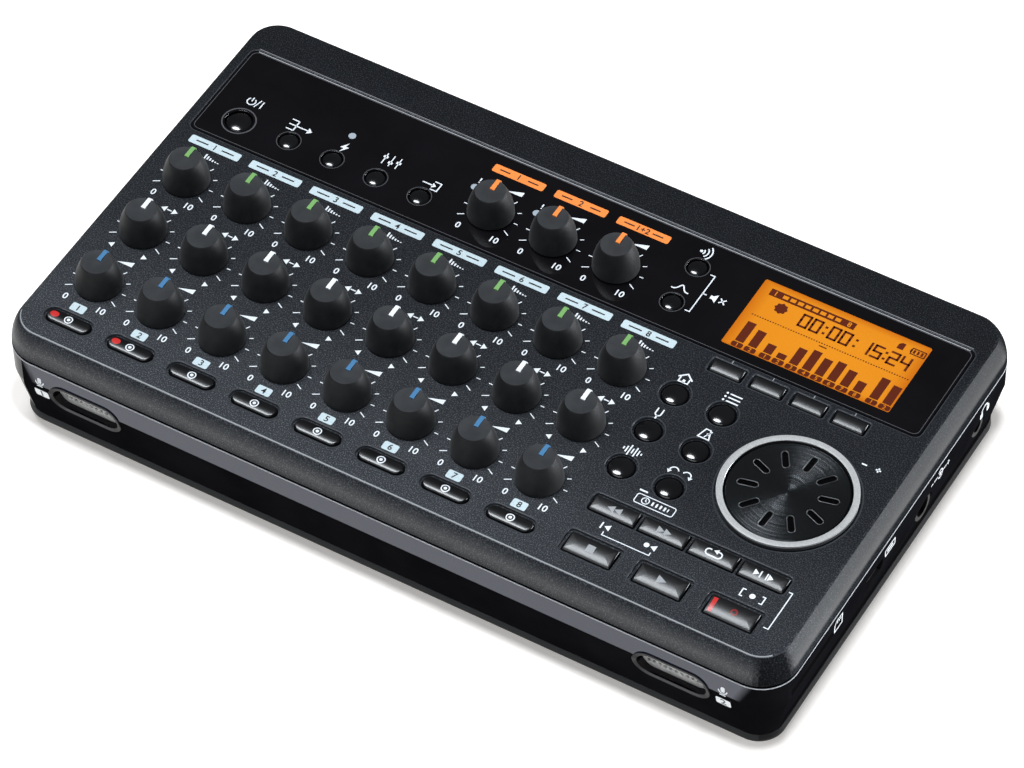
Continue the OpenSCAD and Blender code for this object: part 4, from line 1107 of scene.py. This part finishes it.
case = {
    "front": 63.4, "right": 110.5, "corner": 10, "band": 18.7, "slope": 3.7/16.8, "recess": 0.6, "baseZ": 3.0,
    "base": ((-0.6, 2.0), (0.35, 2.0), (0.65, 2.25), (0.8, 2.7), (0.75, 3.2), (0.1, 4.4), (-0.6, 4.4)),
    "seam": 26.38, "seamIn": 0.1, "seamRound": 0.15,
    "recessX": 110.42, "recessY": (-52.0, 52.5), "recessZ": 25.1, "recessRound": 0.14,
}


def flank(z):  # how far the drawn-in wall lies inside the upright band at a height
    return np.maximum(case["band"] - z, 0)*case["slope"]


def upright(shape, toward):
    # stands a flat shape on the front or rear, or in the right-hand recess with x along the case's depth; y
    # becomes height
    p = shape[0]
    if toward == "front":
        turned = (p[:, 0], -(case["front"] - flank(p[:, 1]) + p[:, 2]), p[:, 1])
    elif toward == "rear":
        turned = (-p[:, 0], case["front"] - flank(p[:, 1]) + p[:, 2], p[:, 1])
    else:
        turned = (case["right"] - case["recess"] - flank(p[:, 1]) + p[:, 2], p[:, 0], p[:, 1])
    return np.stack(turned, 1), shape[1]


onWall = (-0.02, 0.03)


def wallLine(points, width=0.36, closed=False):
    return line(points, width, closed, onWall)


def wallArea(points):
    return area(points, onWall)


wallSigns = {
    "mic": [wallArea(roundBox(1.1, 2.0, 0.549, 0, 0.6)), wallLine(arc(1.15, 180, 360, 0, 0.3, 15), 0.34),
            wallLine([(0, -0.8), (0, -1.4)], 0.4), wallLine([(-0.8, -1.4), (0.8, -1.4)])],
    "phones": [wallLine(arc(1.7, 0, 180, 0, -0.2, 17), 0.5),
               *(wallArea(roundBox(1.3, 1.9, 0.3, x, -0.9)) for x in (-1.75, 1.75))],
    "inlet": [wallLine(arc(1.3, -140, 140), 0.4), wallArea(arc(0.55, 0, 345, steps=18)),
              wallLine([(0.5, 0), (3.3, 0)]), wallLine([(-1.3, 0), (-3.3, 0)]),
              wallLine([(4.2, -0.8), (4.2, 0.8)]), wallLine([(3.5, 0), (4.9, 0)]),
              wallLine([(-4.9, 0), (-3.7, 0)])],
    "usb": [wallLine(roundBox(5.0, 2.1, 0.3), 0.4, True), wallArea(roundBox(3.0, 0.7, 0.15))],
    "card": [wallLine([(-1.9, -1.7), (1.9, -1.7), (1.9, 1.7), (-0.9, 1.7), (-1.9, 0.7)], 0.4, True),
             *(wallLine([(x, 0.4), (x, 1.2)], 0.34) for x in (-0.5, 0.3, 1.1))],
    "out": [wallLine(arc(1.6, 40, 320, steps=31), 0.4), wallLine([(-0.4, 0), (2.8, 0)], 0.4),
            wallArea([(2.6, -0.8), (4.0, 0), (2.6, 0.8)])],
}
wallMarks = {"phones": (45.4, 20.9), "inlet": (21.4, 21.2), "usb": (-5.0, 21.0), "card": (-31.6, 20.9)}
rearMarks = {"figures": {"1": 91.6, "2": 34.6}, "high": 3.2, "out": -7.4, "z": 16.0}
mics = {
    "plateX": (-98.1, 95.8), "plateZ": 16.2, "plate": (4.0, 3.1, 0.5), "high": 2.3, "signZ": 20.9,
    "slotX": (-85.0, 81.7), "slotZ": 17.6, "slot": (19.0, 7.4),
    "lip": ((0.0, -0.5), (0.0, 0.02), (0.9, 0.30), (1.05, 0.33), (1.15, 0.22), (1.15, -0.5)),
}
cut = {"thick": 0.06, "over": 0.035}  # of the figures on the walls


def standing(shapes, x, z, toward):
    return [upright(shape, toward) for shape in put(x, z, shapes)]


def addWallMarks():
    shapes = []
    for name, (y, z) in wallMarks.items():
        shapes += standing(wallSigns[name], y, z, "right")
    for x in mics["plateX"]:
        shapes += standing(wallSigns["mic"], x, mics["signZ"], "front")
    shapes += standing(wallSigns["out"], rearMarks["out"], rearMarks["z"], "rear")
    for text, x in rearMarks["figures"].items():
        shapes += standing([numerals(text, rearMarks["high"], cut["thick"])], x, rearMarks["z"], "rear")
    fixed("wallPrint", shapes, "white")
    pads, figures = [], []
    for x, text in zip(mics["plateX"], "12"):
        pads.append(upright(wallArea(roundBox(*mics["plate"], x, mics["plateZ"])), "front"))
        raised = moved(numerals(text, mics["high"], cut["thick"]), x, mics["plateZ"], cut["over"])
        figures.append(upright(raised, "front"))
    fixed("micPlates", pads, "white")
    fixed("micFigures", figures, "dark")


def stacked(rings):
    return np.concatenate(rings), gridFaces(len(rings), len(rings[0]), True, True)


def slotLip(x):
    # follows the wall round a slot and slopes in to the slot's edge
    rings = []
    for spread, rise in mics["lip"]:
        wide, tall = (side + 2*spread for side in mics["slot"])
        edge = roundBox(wide, tall, tall/2 - 0.01, x, mics["slotZ"], 15)
        rings.append(upright((np.column_stack([edge, np.full(len(edge), rise)]), []), "front")[0])
    return stacked(rings)


def caseEdge(inside, z):
    # the outline of the case drawn in by a length, at a height
    edge = roundBox(2*(case["right"] - inside), 2*(case["front"] - inside), case["corner"] - inside, steps=17)
    return np.column_stack([edge, np.full(len(edge), z)])


def addLips():
    # the lips' finish paints light on their upward faces
    fixed("micLips", [slotLip(x) for x in mics["slotX"]], "scoop", smooth=True)
    # the foot's finish paints a reflection on its upward faces
    foot = stacked([caseEdge(flank(case["baseZ"]) - out, z) for out, z in case["base"]])
    fixed("baseLip", [foot], "base", smooth=True)
    # painted highlight: the seam lip is pale grey
    seam = tube(caseEdge(case["seamIn"], case["seam"]), (0, 0, 1), case["seamRound"], closed=True)
    fixed("seamLip", [seam], "lip", smooth=True)
    path = np.linspace(*[(case["recessX"], y, case["recessZ"]) for y in case["recessY"]], 24)
    recess = tube(path, (1, 0, 0), case["recessRound"])
    fixed("recessLip", [recess], "tray", smooth=True)


addWallMarks()
addLips()
print("walls marked")

# Bright ring of the wheel

bezel = {"inner": 15.8, "outer": 17.4, "top": 36.66, "crown": 0.10, "deep": 0.5, "steps": 128}


def addBezel():
    # an arched section turned about the wheel's axis
    b, (x, y) = bezel, centreOf("data_wheel")
    t = np.linspace(0, 1, 9)
    r = np.concatenate([b["inner"] + t*(b["outer"] - b["inner"]), [b["outer"], b["inner"]]])
    z = np.concatenate([b["top"] + b["crown"]*np.sin(np.pi*t)**0.7, [b["top"] - b["deep"]]*2])
    a = np.linspace(0, 2*np.pi, b["steps"], endpoint=False)[:, None]
    points = np.stack([x + np.cos(a)*r, y + np.sin(a)*r, np.broadcast_to(z, (len(a), len(z)))], 2)
    ring = points.reshape(-1, 3), gridFaces(len(a), len(r), True, True)
    makePiece("wheelRing", ring, "data_wheel", "bright", smooth=True)


grip = {"slots": 10, "turn": 14.0, "reach": 10.05, "size": (5.3, 1.8), "edge": 0.13, "top": 36.30}


def addGrips():
    # the rolled edge of each grip slot: a round section carried along the slot's outline
    x, y = centreOf("data_wheel")
    edges = []
    for i in range(grip["slots"]):
        a = math.radians(360*i/grip["slots"] + grip["turn"])
        flat = roundBox(*grip["size"], grip["size"][1]/2 - 0.001) + (grip["reach"], 0)
        turned = flat @ np.array([(math.cos(a), math.sin(a)), (-math.sin(a), math.cos(a))])
        path = np.column_stack([turned + (x, y), np.full(len(flat), grip["top"] - 0.6*grip["edge"])])
        edges.append(tube(path, (0, 0, 1), grip["edge"], closed=True))
    makePiece("wheelGrips", joined(edges), "data_wheel", "edge", smooth=True)


addBezel()
addGrips()
print("wheel ringed")

# Camera, floor and light

view = {"place": (444.78, -738.04, 1021.82), "lens": 186.23, "sensor": 36.0, "clip": (0.05, 20.0),
        "right": (0.86357, 0.50410, -0.01112), "down": (0.37715, -0.66042, -0.64931),
        "forward": (-0.33466, 0.55654, -0.76044)}


def addCamera():
    lens = bpy.data.cameras.new("camera")
    lens.lens = view["lens"]
    lens.sensor_width = view["sensor"]
    lens.clip_start, lens.clip_end = view["clip"]
    camera = bpy.data.objects.new("camera", lens)
    turn = Matrix([view["right"], [-v for v in view["down"]], [-v for v in view["forward"]]]).transposed()
    camera.matrix_world = Matrix.Translation([v*mm for v in view["place"]]) @ turn.to_4x4()
    bpy.context.scene.collection.objects.link(camera)
    bpy.context.scene.camera = camera


studio = {"floor": 4.0, "sky": 0.05, "skyTone": (0.95, 0.97, 1.0, 1),
          "floorTone": (0.94, 0.89, 0.84), "glow": 0.26, "glowTone": (1.0, 0.97, 0.94),
          "tone": (0.90, 0.95, 1.0)}
lamps = {
    "keyLight": {"place": (-0.42, 0.0, 1.36), "size": (0.36, 0.7), "power": 12.0},
    "topLight": {"place": (0.20, -0.17, 1.40), "size": (0.22, 0.22), "power": 17.0, "mirrored": False},
    "frontFill": {"place": (-0.1, -1.35, 1.2), "size": (2.2, 1.0), "power": 8.5},
    "sideCard": {"place": (1.25, 0.85, 0.16), "size": (1.4, 0.26), "power": 33.0},
}


def addLamp(name):
    lamp = lamps[name]
    light = bpy.data.lights.new(name, "AREA")
    light.shape = "ELLIPSE"
    light.size, light.size_y = lamp["size"]
    light.energy = lamp["power"]
    light.color = studio["tone"]
    made = bpy.data.objects.new(name, light)
    made.visible_glossy = lamp.get("mirrored", True)
    z = np.array(lamp["place"])/np.linalg.norm(lamp["place"])  # its back, so that it faces the object
    x = np.cross((0, 0, 1), z)
    x = x/np.linalg.norm(x)
    turn = Matrix([x, np.cross(z, x), z]).transposed()
    made.matrix_world = Matrix.Translation(lamp["place"]) @ turn.to_4x4()
    bpy.context.scene.collection.objects.link(made)


def addStudio():
    half = studio["floor"]
    mesh = bpy.data.meshes.new("floor")
    corners = [(-half, -half, 0), (half, -half, 0), (half, half, 0), (-half, half, 0)]
    mesh.from_pydata(corners, [], [(0, 1, 2, 3)])
    made = newFinish("paleFloor", {
        "Base Color": studio["floorTone"], "Roughness": 0.7, "Specular IOR Level": 0.1,
        "Emission Color": studio["glowTone"], "Emission Strength": studio["glow"]})[0]
    mesh.materials.append(made)
    floor = bpy.data.objects.new("floor", mesh)
    bpy.context.scene.collection.objects.link(floor)
    for name in lamps:
        addLamp(name)
    world = bpy.data.worlds.new("studio")
    world.use_nodes = True
    sky = world.node_tree.nodes["Background"].inputs
    sky["Color"].default_value = studio["skyTone"]
    sky["Strength"].default_value = studio["sky"]
    bpy.context.scene.world = world
    bpy.context.scene.view_settings.view_transform = "Standard"


addCamera()
addStudio()
print("camera and studio set")
